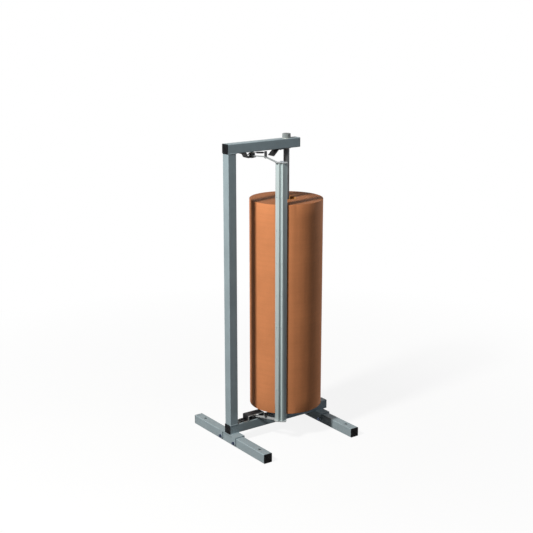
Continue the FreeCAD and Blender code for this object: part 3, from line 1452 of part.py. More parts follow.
def make_pad_screws():
    """Two screws through each end pad into the tapped blocks."""
    made = []
    grip = "Sizes.arm_plate + Sizes.pad_screw_length"
    ends = (("lower", LOWER_ARM_LOW, DOWN), ("upper", f"{RAIL_TOP} + Sizes.arm_plate", UP))
    for name, level, along in ends:
        for across, out in PAD_SCREW_PLACES:
            x, y = bar_point(across, out)
            made.append(round_screw(name + "_pad_screw", "Sizes.pad_screw", "Sizes.pad_screw_head",
                                    "Sizes.pad_screw_height", grip, x, y, level, along))
    group("pad_screws", made)


# ---------------------------------------------------------------- turntable


def make_pedestal():
    """A turned pedestal on the beam and the bush that steadies the spindle inside it."""
    height = "Sizes.pedestal_height"
    pedestal = ring("turntable_pedestal", "Sizes.pedestal_diameter", "Sizes.bush_body", height,
                    SPINDLE_X, "0", BEAM_TOP)
    keep(pedestal, "turntable_pedestal")
    keep(ring("pedestal_bush", "Sizes.bush_body", RUNNING_BORE, height, SPINDLE_X, "0", BEAM_TOP),
         "pedestal_bush")


def make_race(label, low):
    """A flat bearing ring with a ball groove on the side that faces the balls."""
    blank = ring(label + "_blank", "Sizes.race_diameter", "Sizes.race_bore", "Sizes.race_plate",
                 SPINDLE_X, "0", low)
    groove = doc.addObject("Part::Torus", label + "_groove")
    groove.setExpression("Radius1", "Sizes.ball_circle / 2")
    groove.setExpression("Radius2", "Sizes.ball_diameter / 2 + Sizes.groove_play")
    move(groove, SPINDLE_X, "0", BALL_LEVEL)
    return keep(cut(label, blank, [groove]), label)


def make_balls():
    """The balls and the flat cage that spaces them."""
    count = int(round(number("Sizes.ball_count")))
    balls, pockets = [], []
    cage_low = f"{BALL_LEVEL} - Sizes.cage_plate / 2"
    for i in range(count):
        angle = f"{i} * 360 / Sizes.ball_count"
        x = f"{SPINDLE_X} + Sizes.ball_circle / 2 * cos({angle})"
        y = f"Sizes.ball_circle / 2 * sin({angle})"
        ball = doc.addObject("Part::Sphere", "ball")
        ball.setExpression("Radius", "Sizes.ball_diameter / 2")
        balls.append(move(ball, x, y, BALL_LEVEL))
        pockets.append(cylinder("cage_pocket", "Sizes.ball_diameter / 2 + Sizes.groove_play",
                                "Sizes.cage_plate", x, y, cage_low))
    group("bearing_balls", balls)
    outer, inner = "Sizes.ball_circle + 2 * Sizes.cage_rim", "Sizes.ball_circle - 2 * Sizes.cage_rim"
    blank = ring("cage_blank", outer, inner, "Sizes.cage_plate", SPINDLE_X, "0", cage_low)
    keep(cut("ball_cage", blank, pockets), "ball_cage")


def hub_screw_places():
    count = int(round(number("Sizes.hub_screw_count")))
    places = []
    for i in range(count):
        angle = f"{i} * 360 / Sizes.hub_screw_count"
        x = f"{SPINDLE_X} + Sizes.hub_screw_circle / 2 * cos({angle})"
        places.append((x, f"Sizes.hub_screw_circle / 2 * sin({angle})"))
    return places


def make_turntable():
    """The disc under the roll, the hub that centres its core and the screws between them."""
    blank = ring("disc_blank", "Sizes.disc_diameter", "Sizes.race_bore", "Sizes.disc_plate",
                 SPINDLE_X, "0", DISC_LOW)
    disc_holes, hub_holes, screws = [], [], []
    seat = f"{DISC_TOP} + Sizes.hub_screw_seat"
    for x, y in hub_screw_places():
        disc_holes.append(cylinder("disc_hole", "Sizes.hub_screw / 2", "Sizes.disc_plate", x, y, DISC_LOW))
        hub_holes.append(cylinder("hub_hole", "Sizes.hub_screw / 2", "Sizes.hub_screw_seat", x, y, DISC_TOP))
        hub_holes.append(cylinder("hub_counterbore", "Sizes.hub_screw_head / 2 + Sizes.hub_play",
                                  "Sizes.hub_height - Sizes.hub_screw_seat", x, y, seat))
        screws.append(round_screw("hub_screw", "Sizes.hub_screw", "Sizes.hub_screw_head",
                                  "Sizes.hub_screw_height", "Sizes.hub_screw_seat + Sizes.disc_plate",
                                  x, y, seat, UP))
    keep(cut("turntable_disc", blank, disc_holes), "turntable_disc")
    side = cylinder("hub_side", "Sizes.hub_diameter / 2", "Sizes.hub_height - Sizes.hub_chamfer",
                    SPINDLE_X, "0", DISC_TOP)
    lead = doc.addObject("Part::Cone", "hub_lead")
    lead.setExpression("Radius1", "Sizes.hub_diameter / 2")
    lead.setExpression("Radius2", "Sizes.hub_diameter / 2 - Sizes.hub_chamfer")
    lead.setExpression("Height", "Sizes.hub_chamfer")
    move(lead, SPINDLE_X, "0", f"{DISC_TOP} + Sizes.hub_height - Sizes.hub_chamfer")
    bore = cylinder("hub_bore", "Sizes.spindle_diameter / 2 + Sizes.hub_play", "Sizes.hub_height",
                    SPINDLE_X, "0", DISC_TOP)
    keep(cut("core_hub", fuse("hub_blank", [side, lead]), [bore] + hub_holes), "core_hub")
    group("hub_screws", screws)


def make_roll():
    """The roll: a cardboard core and the wound paper."""
    outer = "Sizes.core_bore + 2 * Sizes.core_wall"
    keep(ring("roll_core", outer, "Sizes.core_bore", "Sizes.roll_length", SPINDLE_X, "0", ROLL_LOW),
         "roll_core")
    keep(ring("paper_roll", "Sizes.roll_diameter", outer, "Sizes.roll_length", SPINDLE_X, "0", ROLL_LOW),
         "paper_roll")


# ---------------------------------------------------------------- spindle


def make_spindle():
    """The lift-out spindle tube with its two plugs, its collar and the collar's set screw."""
    tube_low = f"({SPINDLE_LOW} + Sizes.spindle_plug_cap)"
    tube_high = f"({SPINDLE_TOP} - Sizes.spindle_plug_cap)"
    bore = "Sizes.spindle_diameter - 2 * Sizes.spindle_wall"
    keep(ring("spindle_tube", "Sizes.spindle_diameter", bore, f"{tube_high} - {tube_low}",
              SPINDLE_X, "0", tube_low), "spindle_tube")
    for label, cap_low, stem_low in (
        ("spindle_foot_plug", SPINDLE_LOW, tube_low),
        ("spindle_top_plug", tube_high, f"{tube_high} - Sizes.spindle_plug_depth"),
    ):
        cap = cylinder(label + "_cap", "Sizes.spindle_diameter / 2", "Sizes.spindle_plug_cap",
                       SPINDLE_X, "0", cap_low)
        stem = cylinder(label + "_stem", f"({bore}) / 2", "Sizes.spindle_plug_depth",
                        SPINDLE_X, "0", stem_low)
        keep(fuse(label, [cap, stem]), label)
    make_collar()


def make_collar():
    """A chamfered collar round the spindle's top, with a radial set screw at the front."""
    body = new_body("spindle_collar")
    section = sketch(body, "XZ_Plane")
    inner, outer = "Sizes.spindle_diameter / 2", "Sizes.collar_diameter / 2"
    edge, top = "Sizes.collar_chamfer", "Sizes.collar_height"
    outline(section, [
        (inner, "0"),
        (outer, "0"),
        (outer, f"{top} - {edge}"),
        (f"{outer} - {edge}", top),
        (inner, top),
    ])
    turned = body.newObject("PartDesign::Revolution", "collar_turned")
    turned.Profile = section
    turned.ReferenceAxis = (section, ["V_Axis"])
    turned.Angle = 360
    doc.recompute()
    hole = sketch(body, "XZ_Plane", outer)
    circle(hole, "Sizes.set_screw", "0", "Sizes.collar_height / 2")
    pocket(body, hole, "(Sizes.collar_diameter - Sizes.spindle_diameter) / 2")
    move(body, SPINDLE_X, "0", COLLAR_LOW)
    keep(body, "spindle_collar")
    screw = cylinder("collar_set_screw", "Sizes.set_screw / 2",
                     "(Sizes.collar_diameter - Sizes.spindle_diameter) / 2 - Sizes.set_screw_sink",
                     SPINDLE_X, "-Sizes.spindle_diameter / 2",
                     f"{COLLAR_LOW} + Sizes.collar_height / 2", FRONT)
    keep(screw, "collar_set_screw")


def make_spindle_bushes():
    """Flanged nylon bushes in the top and bottom walls of the arm."""
    made = []
    levels = (
        ("upper", ARM_TOP, f"{ARM_TOP} - Sizes.bush_length"),
        ("lower", f"{ARM_LOW} - Sizes.bush_flange_plate", ARM_LOW),
    )
    for name, flange_low, body_low in levels:
        flange = cylinder(name + "_bush_flange", "Sizes.bush_flange / 2", "Sizes.bush_flange_plate",
                          SPINDLE_X, "0", flange_low)
        body = cylinder(name + "_bush_body", "Sizes.bush_body / 2", "Sizes.bush_length",
                        SPINDLE_X, "0", body_low)
        length = "Sizes.bush_length + Sizes.bush_flange_plate"
        low = body_low if name == "upper" else flange_low
        bore = cylinder(name + "_bush_bore", f"{RUNNING_BORE} / 2", length, SPINDLE_X, "0", low)
        made.append(cut(name + "_spindle_bush", fuse(name + "_bush_blank", [flange, body]), [bore]))
    group("spindle_bushes", made)


# ---------------------------------------------------------------- build, check, write


def build():
    make_foot("left_foot", POST_X)
    make_foot("right_foot", RIGHT_FOOT_X)
    make_beam()
    make_post()
    make_top_arm()
    make_plugs()
    make_saddle("left_saddle", POST_X)
    make_saddle("right_saddle", RIGHT_FOOT_X)
    make_saddle_fasteners()
    make_lower_bridge()
    make_upper_bracket()
    make_arm_stop()
    make_plate_screws()
    make_hinge_pins()
    make_spools()
    make_springs()
    make_lower_arm()
    make_upper_arm()
    make_arm_details()
    make_bar()
    make_end_blocks()
    make_pad_screws()
    make_pedestal()
    make_race("lower_race", LOWER_RACE_LOW)
    make_race("upper_race", UPPER_RACE_LOW)
    make_balls()
    make_turntable()
    make_roll()
    make_spindle()
    make_spindle_bushes()
    doc.recompute()


def check():
    """Stop if any object failed to build, or any sub-part is empty or invalid."""
    for thing in doc.Objects:
        if "Invalid" in thing.State or "Error" in thing.State:
            raise RuntimeError(f"{thing.Label} did not build: {thing.State}")
    for piece in pieces:
        if piece.Shape.isNull() or not piece.Shape.isValid():
            raise RuntimeError(f"{piece.Label} has no valid shape")


def write():
    os.makedirs("parts", exist_ok=True)
    for piece in pieces:
        piece.Shape.exportStep(f"parts/{piece.Label}.step")
    print(len(pieces), "sub-parts written")


build()
check()
write()
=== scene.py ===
"""Dresses the upright paper roll cutter: its paints, metals, paper, welds, fasteners and springs."""

import math
from types import SimpleNamespace

import bpy
from mathutils import Matrix, Vector


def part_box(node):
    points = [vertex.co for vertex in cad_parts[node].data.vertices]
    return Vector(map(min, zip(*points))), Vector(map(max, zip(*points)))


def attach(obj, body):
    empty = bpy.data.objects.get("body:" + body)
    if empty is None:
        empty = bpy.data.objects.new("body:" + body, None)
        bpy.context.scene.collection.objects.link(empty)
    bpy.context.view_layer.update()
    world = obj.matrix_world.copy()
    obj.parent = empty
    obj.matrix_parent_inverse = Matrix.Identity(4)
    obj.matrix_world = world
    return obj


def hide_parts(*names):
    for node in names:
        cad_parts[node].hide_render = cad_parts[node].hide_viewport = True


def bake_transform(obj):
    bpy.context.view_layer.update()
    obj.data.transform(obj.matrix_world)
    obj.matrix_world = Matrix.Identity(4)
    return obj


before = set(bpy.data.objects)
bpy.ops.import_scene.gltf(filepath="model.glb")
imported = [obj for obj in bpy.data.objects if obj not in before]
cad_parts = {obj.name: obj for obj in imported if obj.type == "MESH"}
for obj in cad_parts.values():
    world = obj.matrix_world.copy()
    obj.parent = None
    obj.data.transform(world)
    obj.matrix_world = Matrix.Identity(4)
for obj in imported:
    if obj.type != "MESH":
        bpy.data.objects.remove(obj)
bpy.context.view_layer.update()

bl_info = {
    "name": "Upright Paper Roll Cutter",
    "version": (1, 0, 0),
    "blender": (4, 5, 0),
    "location": "View3D > Sidebar > Roll Cutter",
    "description": "Builds the finishes and small hardware of an upright wrapping paper cutter",
    "category": "Object",
}

UP = Vector((0, 0, 1))
CLOSE = 1e-6  # places nearer to each other than this, in metres, are one place


# ---------------------------------------------------------------- settings


def colour(label, text, rgb):
    return bpy.props.FloatVectorProperty(
        name=label, description=text, subtype="COLOR", size=3, min=0, max=1, default=rgb
    )


def length(label, text, metres):
    return bpy.props.FloatProperty(
        name=label, description=text, default=metres, min=0, unit="LENGTH", subtype="DISTANCE"
    )


class CutterColours(bpy.types.PropertyGroup):
    """Base colours of the cutter's finishes."""

    paint: colour("Tube paint", "Grey powder coat of the tubes and saddles", (0.298, 0.37, 0.40))
    bracket: colour("Bracket black", "Black coat of the hinge brackets", (0.018, 0.018, 0.02))
    plug: colour("Plug black", "Moulded black of the tube plugs", (0.009, 0.0095, 0.011))
    zinc: colour("Zinc", "Zinc plate of the washers and small screws", (0.42, 0.45, 0.49))
    bolt: colour("Bolt", "Dark blue passivated zinc of the cross bolts", (0.040, 0.056, 0.105))
    strip: colour("Arm steel", "Plated steel of the cutter arms", (0.52, 0.55, 0.56))
    stud: colour("Stud black", "Black plate of the spring studs", (0.05, 0.052, 0.055))
    rubber: colour("Rubber", "Black sleeves on the spring legs", (0.018, 0.018, 0.02))
    rail: colour("Rail", "Satin aluminium of the cutter bar", (0.455, 0.535, 0.54))
    blade: colour("Blade", "Ground steel of the blade", (0.62, 0.64, 0.66))
    spring: colour("Spring wire", "Oiled wire of the springs", (0.055, 0.055, 0.06))
    nylon: colour("Nylon", "Natural nylon of the bushes", (0.70, 0.69, 0.62))
    bearing: colour("Bearing steel", "Polished races and balls", (0.66, 0.67, 0.69))
    brass: colour("Brass", "Pressed brass of the ball cage", (0.62, 0.40, 0.12))
    enamel: colour("Enamel", "Grey enamel of the turntable", (0.11, 0.12, 0.13))
    hub: colour("Hub black", "Moulded black of the core hub", (0.02, 0.02, 0.022))
    spindle: colour("Spindle", "Blackened steel of the spindle", (0.15, 0.155, 0.16))
    board: colour("Core board", "Brown board of the core", (0.58, 0.26, 0.07))
    kraft: colour("Kraft paper", "Brown wrapping paper", (0.62, 0.237, 0.099))
    collar: colour("Collar", "Blackened steel of the spindle collar", (0.25, 0.28, 0.28))
    edge: colour("Cut edge", "Bare cut edges of the hinge bridge", (0.80, 0.83, 0.80))
    weld: colour("Weld", "Painted weld metal", (0.288, 0.355, 0.385))
    backdrop: colour("Backdrop", "Pale floor and background", (0.95, 0.95, 0.95))


class CutterSizes(bpy.types.PropertyGroup):
    """Sizes of the pieces that dress the frame."""

    weld_radius: length("Weld bead", "Half width of a weld bead", 0.0024)
    weld_pitch: length("Weld ripple", "Distance between two ripples of a bead", 0.0023)
    tube_side: length("Tube side", "Side of the square frame tube", 0.040)
    head_chamfer: length("Head chamfer", "Corner chamfer of a hexagon head or nut", 0.0011)
    thread_pitch: length("Thread pitch", "Pitch of the saddle bolts' thread", 0.00125)
    fold_radius: length("Fold radius", "Rounding of the folds in the cutter rail", 0.0006)
    wire_radius: length("Wire radius", "Half the thickness of the spring wire", 0.0015)
    sleeve_radius: length("Sleeve", "Half the thickness of the sleeves on the spring legs", 0.0038)
    rib_pitch: length("Plug rib pitch", "Distance between the ribs of a tube plug", 0.005)
    ring_step: length("Layer step", "How far the paper's layers stand out of line", 0.0005)
    tail_gap: length("Tail lift", "Height of the paper's free edge above the roll", 0.0009)
    light_span: length("Key light", "Width of the key light", 0.62)


# ---------------------------------------------------------------- places read from the frame


def middle(node_name):
    low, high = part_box(node_name)
    return (low + high) / 2


def size_of(node_name):
    low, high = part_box(node_name)
    return high - low


ROLL_LOW, ROLL_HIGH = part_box("paper_roll")
ROLL_RADIUS = size_of("paper_roll").y / 2
CORE_RADIUS = size_of("roll_core").y / 2
AXIS = Vector((middle("paper_roll").x, 0, 0))
PIVOT = Vector((middle("upper_hinge_pin").x, 0, 0))
BAR_ANGLE = math.radians(226)  # where the bar lies on the roll, counted round its axis from +X
BAR_OUT = Vector((math.cos(BAR_ANGLE), math.sin(BAR_ANGLE), 0))
BAR_SIDE = Vector((BAR_OUT.y, -BAR_OUT.x, 0))
BAR_FOOT = AXIS + BAR_OUT * ROLL_RADIUS
RAIL_LOW, RAIL_HIGH = (corner.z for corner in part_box("cutter_rail"))


# ---------------------------------------------------------------- material building blocks


FINISHES = {}
EVENLY = (0, 1, 0.3, 0.7)  # a mask's whole middle range


class Coat:
    """The node tree of a material or a world, with short ways to add to it."""

    def __init__(self, owner):
        owner.use_nodes = True
        self.tree = owner.node_tree
        self.shader = self.tree.nodes.get("Principled BSDF")

    def put(self, socket, value):
        """Link a socket to another, or set its value."""
        if isinstance(value, bpy.types.NodeSocket):
            self.tree.links.new(value, socket)
        else:
            socket.default_value = value

    def node(self, kind, inputs=None, **settings):
        """Add a shader node with its settings and inputs."""
        made = self.tree.nodes.new("ShaderNode" + kind)
        for name, value in settings.items():
            setattr(made, name, value)
        for name, value in (inputs or {}).items():
            self.put(made.inputs[name], value)
        return made

    def sums(self, operation, *values):
        return self.node("Math", dict(enumerate(values)), operation=operation).outputs[0]

    def times(self, first, second):
        return self.sums("MULTIPLY", first, second)

    def place(self, stretch=(1, 1, 1), centre=(0, 0, 0)):
        """Object coordinates in metres, moved to a centre and stretched."""
        inputs = {
            "Vector": self.node("TexCoord").outputs["Object"],
            "Location": tuple(-c for c in centre),
        }
        mapped = self.node("Mapping", inputs).outputs[0]
        return self.node("VectorMath", {0: mapped, 1: stretch}, operation="MULTIPLY").outputs[0]

    def axes(self, vector):
        return self.node("SeparateXYZ", {0: vector}).outputs

    def packed(self, x, y, z):
        return self.node("CombineXYZ", {0: x, 1: y, 2: z}).outputs[0]

    def facing(self):
        """How far the surface faces along each axis, from 0 to 1."""
        parts = self.axes(self.node("TexCoord").outputs["Normal"])
        return [self.sums("ABSOLUTE", parts[name]) for name in "XYZ"]

    def noise(self, place, scale, detail=4.0, rough=0.55):
        inputs = {"Vector": place, "Scale": scale, "Detail": detail, "Roughness": rough}
        return self.node("TexNoise", inputs).outputs["Fac"]

    def ranged(self, value, low, high, start=0.0, end=1.0):
        """Map a value from one range, start to end, to another, low to high, clamped."""
        inputs = {"Value": value, "From Min": start, "From Max": end, "To Min": low, "To Max": high}
        return self.node("MapRange", inputs).outputs["Result"]

    def mixed(self, share, first, second):
        """Blend two colours."""
        return self.node("Mix", {0: share, 6: first, 7: second}, data_type="RGBA").outputs[2]

    def toned(self, base, mask, span, tone):
        """A colour with a tone laid over it by a mask; span is low, high, start and end of ranged."""
        return self.mixed(self.ranged(mask, *span), base, tone)

    def dusted(self, base, place, share, top, speck, even, tint):
        """A colour with a speckled film of dust, thickest on the floor and gone at the height top."""
        film = self.ranged(self.axes(place)["Z"], share, 0, 0.0, top)
        specks = self.ranged(self.noise(place, speck), 0, 1, 0.35, even)
        return self.mixed(self.times(film, specks), base, tint)

    def seen(self):
        """Camera rays, and camera rays with those that gloss and glass send out."""
        path = self.node("LightPath").outputs
        eye = path["Is Camera Ray"]
        gloss = self.sums("MAXIMUM", eye, path["Is Glossy Ray"])
        return eye, self.sums("MAXIMUM", gloss, path["Is Transmission Ray"])

    def finish(self, base, roughness, height, strength, distance):
        """Give the shader its colour, its roughness and its relief."""
        relief = self.node("Bump", {"Height": height, "Strength": strength, "Distance": distance})
        self.put(self.shader.inputs["Base Color"], base)
        self.put(self.shader.inputs["Roughness"], roughness)
        self.put(self.shader.inputs["Normal"], relief.outputs["Normal"])


def shade(rgb, factor):
    """A colour made lighter or darker."""
    return tuple(min(1.0, channel * factor) for channel in rgb[:3]) + (1.0,)


def new_finish(name, metallic=0.0, specular=0.5):
    """A coat with its fixed values set on the shader, its material kept under its name."""
    FINISHES[name] = bpy.data.materials.new(name)
    coat = Coat(FINISHES[name])
    coat.shader.inputs["Metallic"].default_value = metallic
    coat.shader.inputs["Specular IOR Level"].default_value = specular
    return coat


def mottled(name, rgb, rough, metallic=0.0, *, cloud, depth, grain, strength, specular=0.5, dust=0.0):
    """A finish with slow cloudy colour, fine grain, uneven gloss and an optional dusty foot."""
    coat = new_finish(name, metallic, specular)
    place = coat.place()
    clouds = coat.noise(place, cloud, 5.0)
    fine = coat.noise(place, grain, 3.0)
    streaks = coat.noise(place, grain / 9, 4.0)
    base = coat.toned(shade(rgb, 1 - depth), clouds, EVENLY, shade(rgb, 1 + depth))
    base = coat.toned(base, streaks, (0, 0.5, 0.35, 0.75), shade(rgb, 1 + depth / 2))
    if dust:
        base = coat.dusted(base, place, dust, 0.09, 60, 0.65, (0.36, 0.34, 0.31, 1))
    gloss = coat.times(coat.ranged(clouds, 0.8, 1.2), coat.ranged(streaks, 0.85, 1.15))
    coat.finish(base, coat.times(gloss, rough), fine, strength, 0.0003)


def powder_coat(name, rgb, rough, dust=0.0, cut_edge=None):
    """Baked powder coat: orange-peel skin, cloudy tone, rubbed corners and fine scratches."""
    coat = new_finish(name, specular=0.2)
    place = coat.place()
    clouds = coat.noise(place, 9.0, 5.0)
    rubbed = coat.noise(place, 46.0, 6.0, 0.7)
    lines = [coat.noise(coat.place(stretch), 30.0, 2.0) for stretch in ((60, 60, 1.5), (2, 60, 60))]
    scratches = coat.sums("MAXIMUM", *lines)
    base = coat.toned(shade(rgb, 0.92), clouds, (0, 1, 0.35, 0.65), shade(rgb, 1.07))
    base = coat.toned(base, rubbed, (0, 0.35, 0.62, 0.74), shade(rgb, 1.07))
    base = coat.toned(base, scratches, (0, 0.22, 0.70, 0.78), shade(rgb, 0.72))
    facing = coat.facing()
    flattest = coat.sums("MAXIMUM", coat.sums("MAXIMUM", facing[0], facing[1]), facing[2])
    worn = coat.ranged(coat.noise(place, 130.0), 0.15, 0.8, 0.4, 0.6)
    base = coat.mixed(coat.times(coat.ranged(flattest, 1, 0, 0.80, 0.97), worn), base, shade(rgb, 1.5))
    if cut_edge:
        bare = coat.ranged(coat.noise(place, 210.0), 0.7, 1.0, 0.35, 0.5)
        bare = coat.times(coat.ranged(facing[1], 0, 1, 0.90, 0.96), bare)
        base = coat.mixed(bare, base, shade(cut_edge, 1.0))
    if dust:
        base = coat.dusted(base, place, dust, 0.10, 70.0, 0.62, (0.36, 0.39, 0.41, 1))
    gloss = coat.ranged(rubbed, rough, rough * 1.35, 0.3, 0.7)
    coat.finish(base, gloss, coat.noise(place, 520.0, 2.0), 0.22, 0.0004)


def drawn_metal(name, rgb, rough, along, metallic=1.0, depth=0.14, anisotropy=0.45, specular=0.5,
                painted_side_shade=None):
    """Metal with fine lines along one axis, faint stains, uneven gloss and perhaps painted shade on its
    upright faces.
    """
    coat = new_finish(name, metallic, specular)
    coat.shader.inputs["Anisotropic"].default_value = anisotropy
    drawn = coat.place(tuple(0.02 if axis == along else 1.0 for axis in "xyz"))
    stains = coat.noise(coat.place(), 24.0, 6.0, 0.65)
    base = coat.toned(shade(rgb, 1 - depth), coat.noise(drawn, 420.0, 3.0), EVENLY, shade(rgb, 1 + depth))
    base = coat.toned(base, stains, (0, 0.45, 0.58, 0.74), shade(rgb, 0.7))
    if painted_side_shade:
        # painted shade: every face that does not face straight up or down is darkened by this factor
        base = coat.toned(base, coat.facing()[2], (1, 0, 0.3, 0.6), shade(rgb, painted_side_shade))
    gloss = coat.ranged(stains, rough * 0.85, rough * 1.3, 0.35, 0.7)
    coat.finish(base, gloss, coat.noise(drawn, 2600.0, 3.0), 0.12, 0.0002)


def round_the_roll(coat):
    """Places on the roll: along the winding, up its height, and out from its axis, in metres."""
    parts = coat.axes(coat.place(centre=AXIS))
    turn = coat.sums("ARCTAN2", parts["Y"], parts["X"])
    squares = [coat.times(parts[name], parts[name]) for name in "XY"]
    out = coat.sums("SQRT", coat.sums("ADD", *squares))
    return coat.times(turn, ROLL_RADIUS), parts["Z"], out


def kraft_paper(name, rgb):
    """Wound brown paper: fibres and faint machine lines round the side, layers on the ends."""
    coat = new_finish(name, specular=0.2)
    coat.shader.inputs["Specular Tint"].default_value = (0.9, 0.6, 0.4, 1.0)
    along, up, out = round_the_roll(coat)
    fibres = coat.noise(coat.packed(coat.times(along, 0.12), up, out), 1500.0, 4.0, 0.7)
    bands = coat.noise(coat.packed(coat.times(along, 0.05), up, 0.0), 85.0, 5.0)
    slack = coat.noise(coat.packed(along, coat.times(up, 0.07), 0.0), 26.0, 3.0)
    clouds = coat.noise(coat.place(), 6.0, 5.0)
    wound = coat.toned(shade(rgb, 0.90), clouds, EVENLY, shade(rgb, 1.10))
    wound = coat.toned(wound, bands, (0, 0.22, 0.42, 0.64), shade(rgb, 0.84))
    wound = coat.toned(wound, fibres, (0, 0.45, 0.5, 0.72), shade(rgb, 1.30))
    layers = coat.packed(out, coat.times(along, 0.004), 0.0)
    rings = coat.noise(layers, 1700.0, 2.0)
    ends = coat.toned(shade(rgb, 0.42), rings, EVENLY, shade(rgb, 0.88))
    ends = coat.toned(ends, coat.noise(layers, 130.0, 3.0), (0, 0.6, 0.4, 0.68), shade(rgb, 0.5))
    on_end = coat.ranged(coat.facing()[2], 0, 1, 0.6, 0.8)
    relief = coat.sums("ADD", coat.times(fibres, 0.10), coat.times(slack, 1.4))
    height = coat.node("Mix", {0: on_end, 2: relief, 3: coat.times(rings, 0.5)}).outputs[0]
    coat.finish(coat.mixed(on_end, wound, ends), coat.ranged(fibres, 0.58, 0.76), height, 0.5, 0.0015)


def core_board(name, rgb):
    """Spiral-wound board: a slanting butt seam round the tube and soft fibres."""
    coat = new_finish(name, specular=0.25)
    along, up, out = round_the_roll(coat)
    slant = coat.sums("ADD", up, coat.times(along, 0.55))
    cycle = coat.sums("FRACT", coat.sums("DIVIDE", slant, 0.11))
    seam = coat.ranged(cycle, 1, 0, 0.0, 0.02)
    fibres = coat.noise(coat.packed(along, up, out), 700.0, 4.0, 0.7)
    base = coat.mixed(fibres, shade(rgb, 0.72), shade(rgb, 1.32))
    base = coat.mixed(seam, base, shade(rgb, 0.4))
    height = coat.sums("SUBTRACT", coat.times(fibres, 0.3), seam)
    coat.finish(base, coat.ranged(fibres, 0.7, 0.88), height, 0.4, 0.0005)


def backdrop_material(name, rgb):
    """A pale floor that keeps the object's shadow, looks white to the eye and bounces little back."""
    bounce, glow_here, glow_there, near, distant = 0.09, 0.88, 1.0, 0.7, 2.4
    made = bpy.data.materials.new(name)
    coat = Coat(made)
    coat.shader.inputs["Specular IOR Level"].default_value = 0.2
    place = coat.place()
    grain = coat.noise(place, 3.0, 3.0)
    eye, seen = coat.seen()
    base = coat.mixed(grain, shade(rgb, 0.97), shade(rgb, 1.03))
    coat.put(coat.shader.inputs["Base Color"], coat.mixed(eye, shade(rgb, bounce), base))
    coat.put(coat.shader.inputs["Roughness"], coat.ranged(grain, 0.75, 0.9))
    glow = coat.node("Emission", {"Color": (1, 1, 1, 1), "Strength": 1.0}).outputs[0]
    far = coat.node("VectorMath", {0: place}, operation="LENGTH").outputs["Value"]
    share = coat.times(seen, coat.ranged(far, glow_here, glow_there, near, distant))
    blend = coat.node("MixShader", {0: share, 1: coat.shader.outputs[0], 2: glow})
    coat.put(coat.tree.nodes["Material Output"].inputs["Surface"], blend.outputs[0])
    return made


def finishes():
    """Every finish of the machine, made once."""
    if FINISHES:
        return FINISHES
    hues = bpy.context.scene.cutter_colours
    dull = {"metallic": 0.0, "anisotropy": 0.0}
    powder_coat("tube_paint", hues.paint, 0.42, dust=0.35)
    powder_coat("bracket_coat", hues.bracket, 0.38)
    powder_coat("bridge_coat", hues.bracket, 0.38, cut_edge=hues.edge)
    powder_coat("weld_paint", hues.weld, 0.40)
    powder_coat("turntable_enamel", hues.enamel, 0.36)
    mottled("plug_moulding", hues.plug, 0.5, cloud=20, depth=0.3, grain=1400, strength=0.25,
            specular=0.08, dust=0.06)
    mottled("stud_plate", hues.stud, 0.4, 0.3, cloud=160, depth=0.2, grain=1700, strength=0.1, specular=0.3)
    mottled("sleeve_rubber", hues.rubber, 0.6, cloud=120, depth=0.3, grain=1200, strength=0.3, specular=0.15)
    mottled("bolt_zinc", hues.bolt, 0.30, 1.0, cloud=220, depth=0.3, grain=1800, strength=0.1)
    mottled("zinc_plate", hues.zinc, 0.30, 1.0, cloud=160, depth=0.16, grain=1800, strength=0.1)
    mottled("spring_wire", hues.spring, 0.36, 0.3, cloud=90, depth=0.3, grain=1600, strength=0.12,
            specular=0.3)
    mottled("nylon_moulding", hues.nylon, 0.5, cloud=60, depth=0.06, grain=1500, strength=0.12)
    mottled("bearing_steel", hues.bearing, 0.16, 1.0, cloud=90, depth=0.08, grain=2400, strength=0.04)
    mottled("cage_brass", hues.brass, 0.3, 1.0, cloud=120, depth=0.15, grain=1900, strength=0.08)
    mottled("hub_moulding", hues.hub, 0.42, cloud=30, depth=0.25, grain=1300, strength=0.2)
    # the arms' upright faces (the strips' edges) carry painted shade
    drawn_metal("arm_steel", hues.strip, 0.36, "x", metallic=0.1, specular=0.3, painted_side_shade=0.55)
    drawn_metal("blade_steel", hues.blade, 0.22, "z")
    drawn_metal("rail_aluminium", hues.rail, 0.42, "z", depth=0.10, specular=0.25, **dull)
    drawn_metal("spindle_steel", hues.spindle, 0.32, "z", specular=0.25, **dull)
    drawn_metal("collar_steel", hues.collar, 0.36, "z", specular=0.2, **dull)
    core_board("core_board", hues.board)
    kraft_paper("kraft_paper", hues.kraft)
    return FINISHES


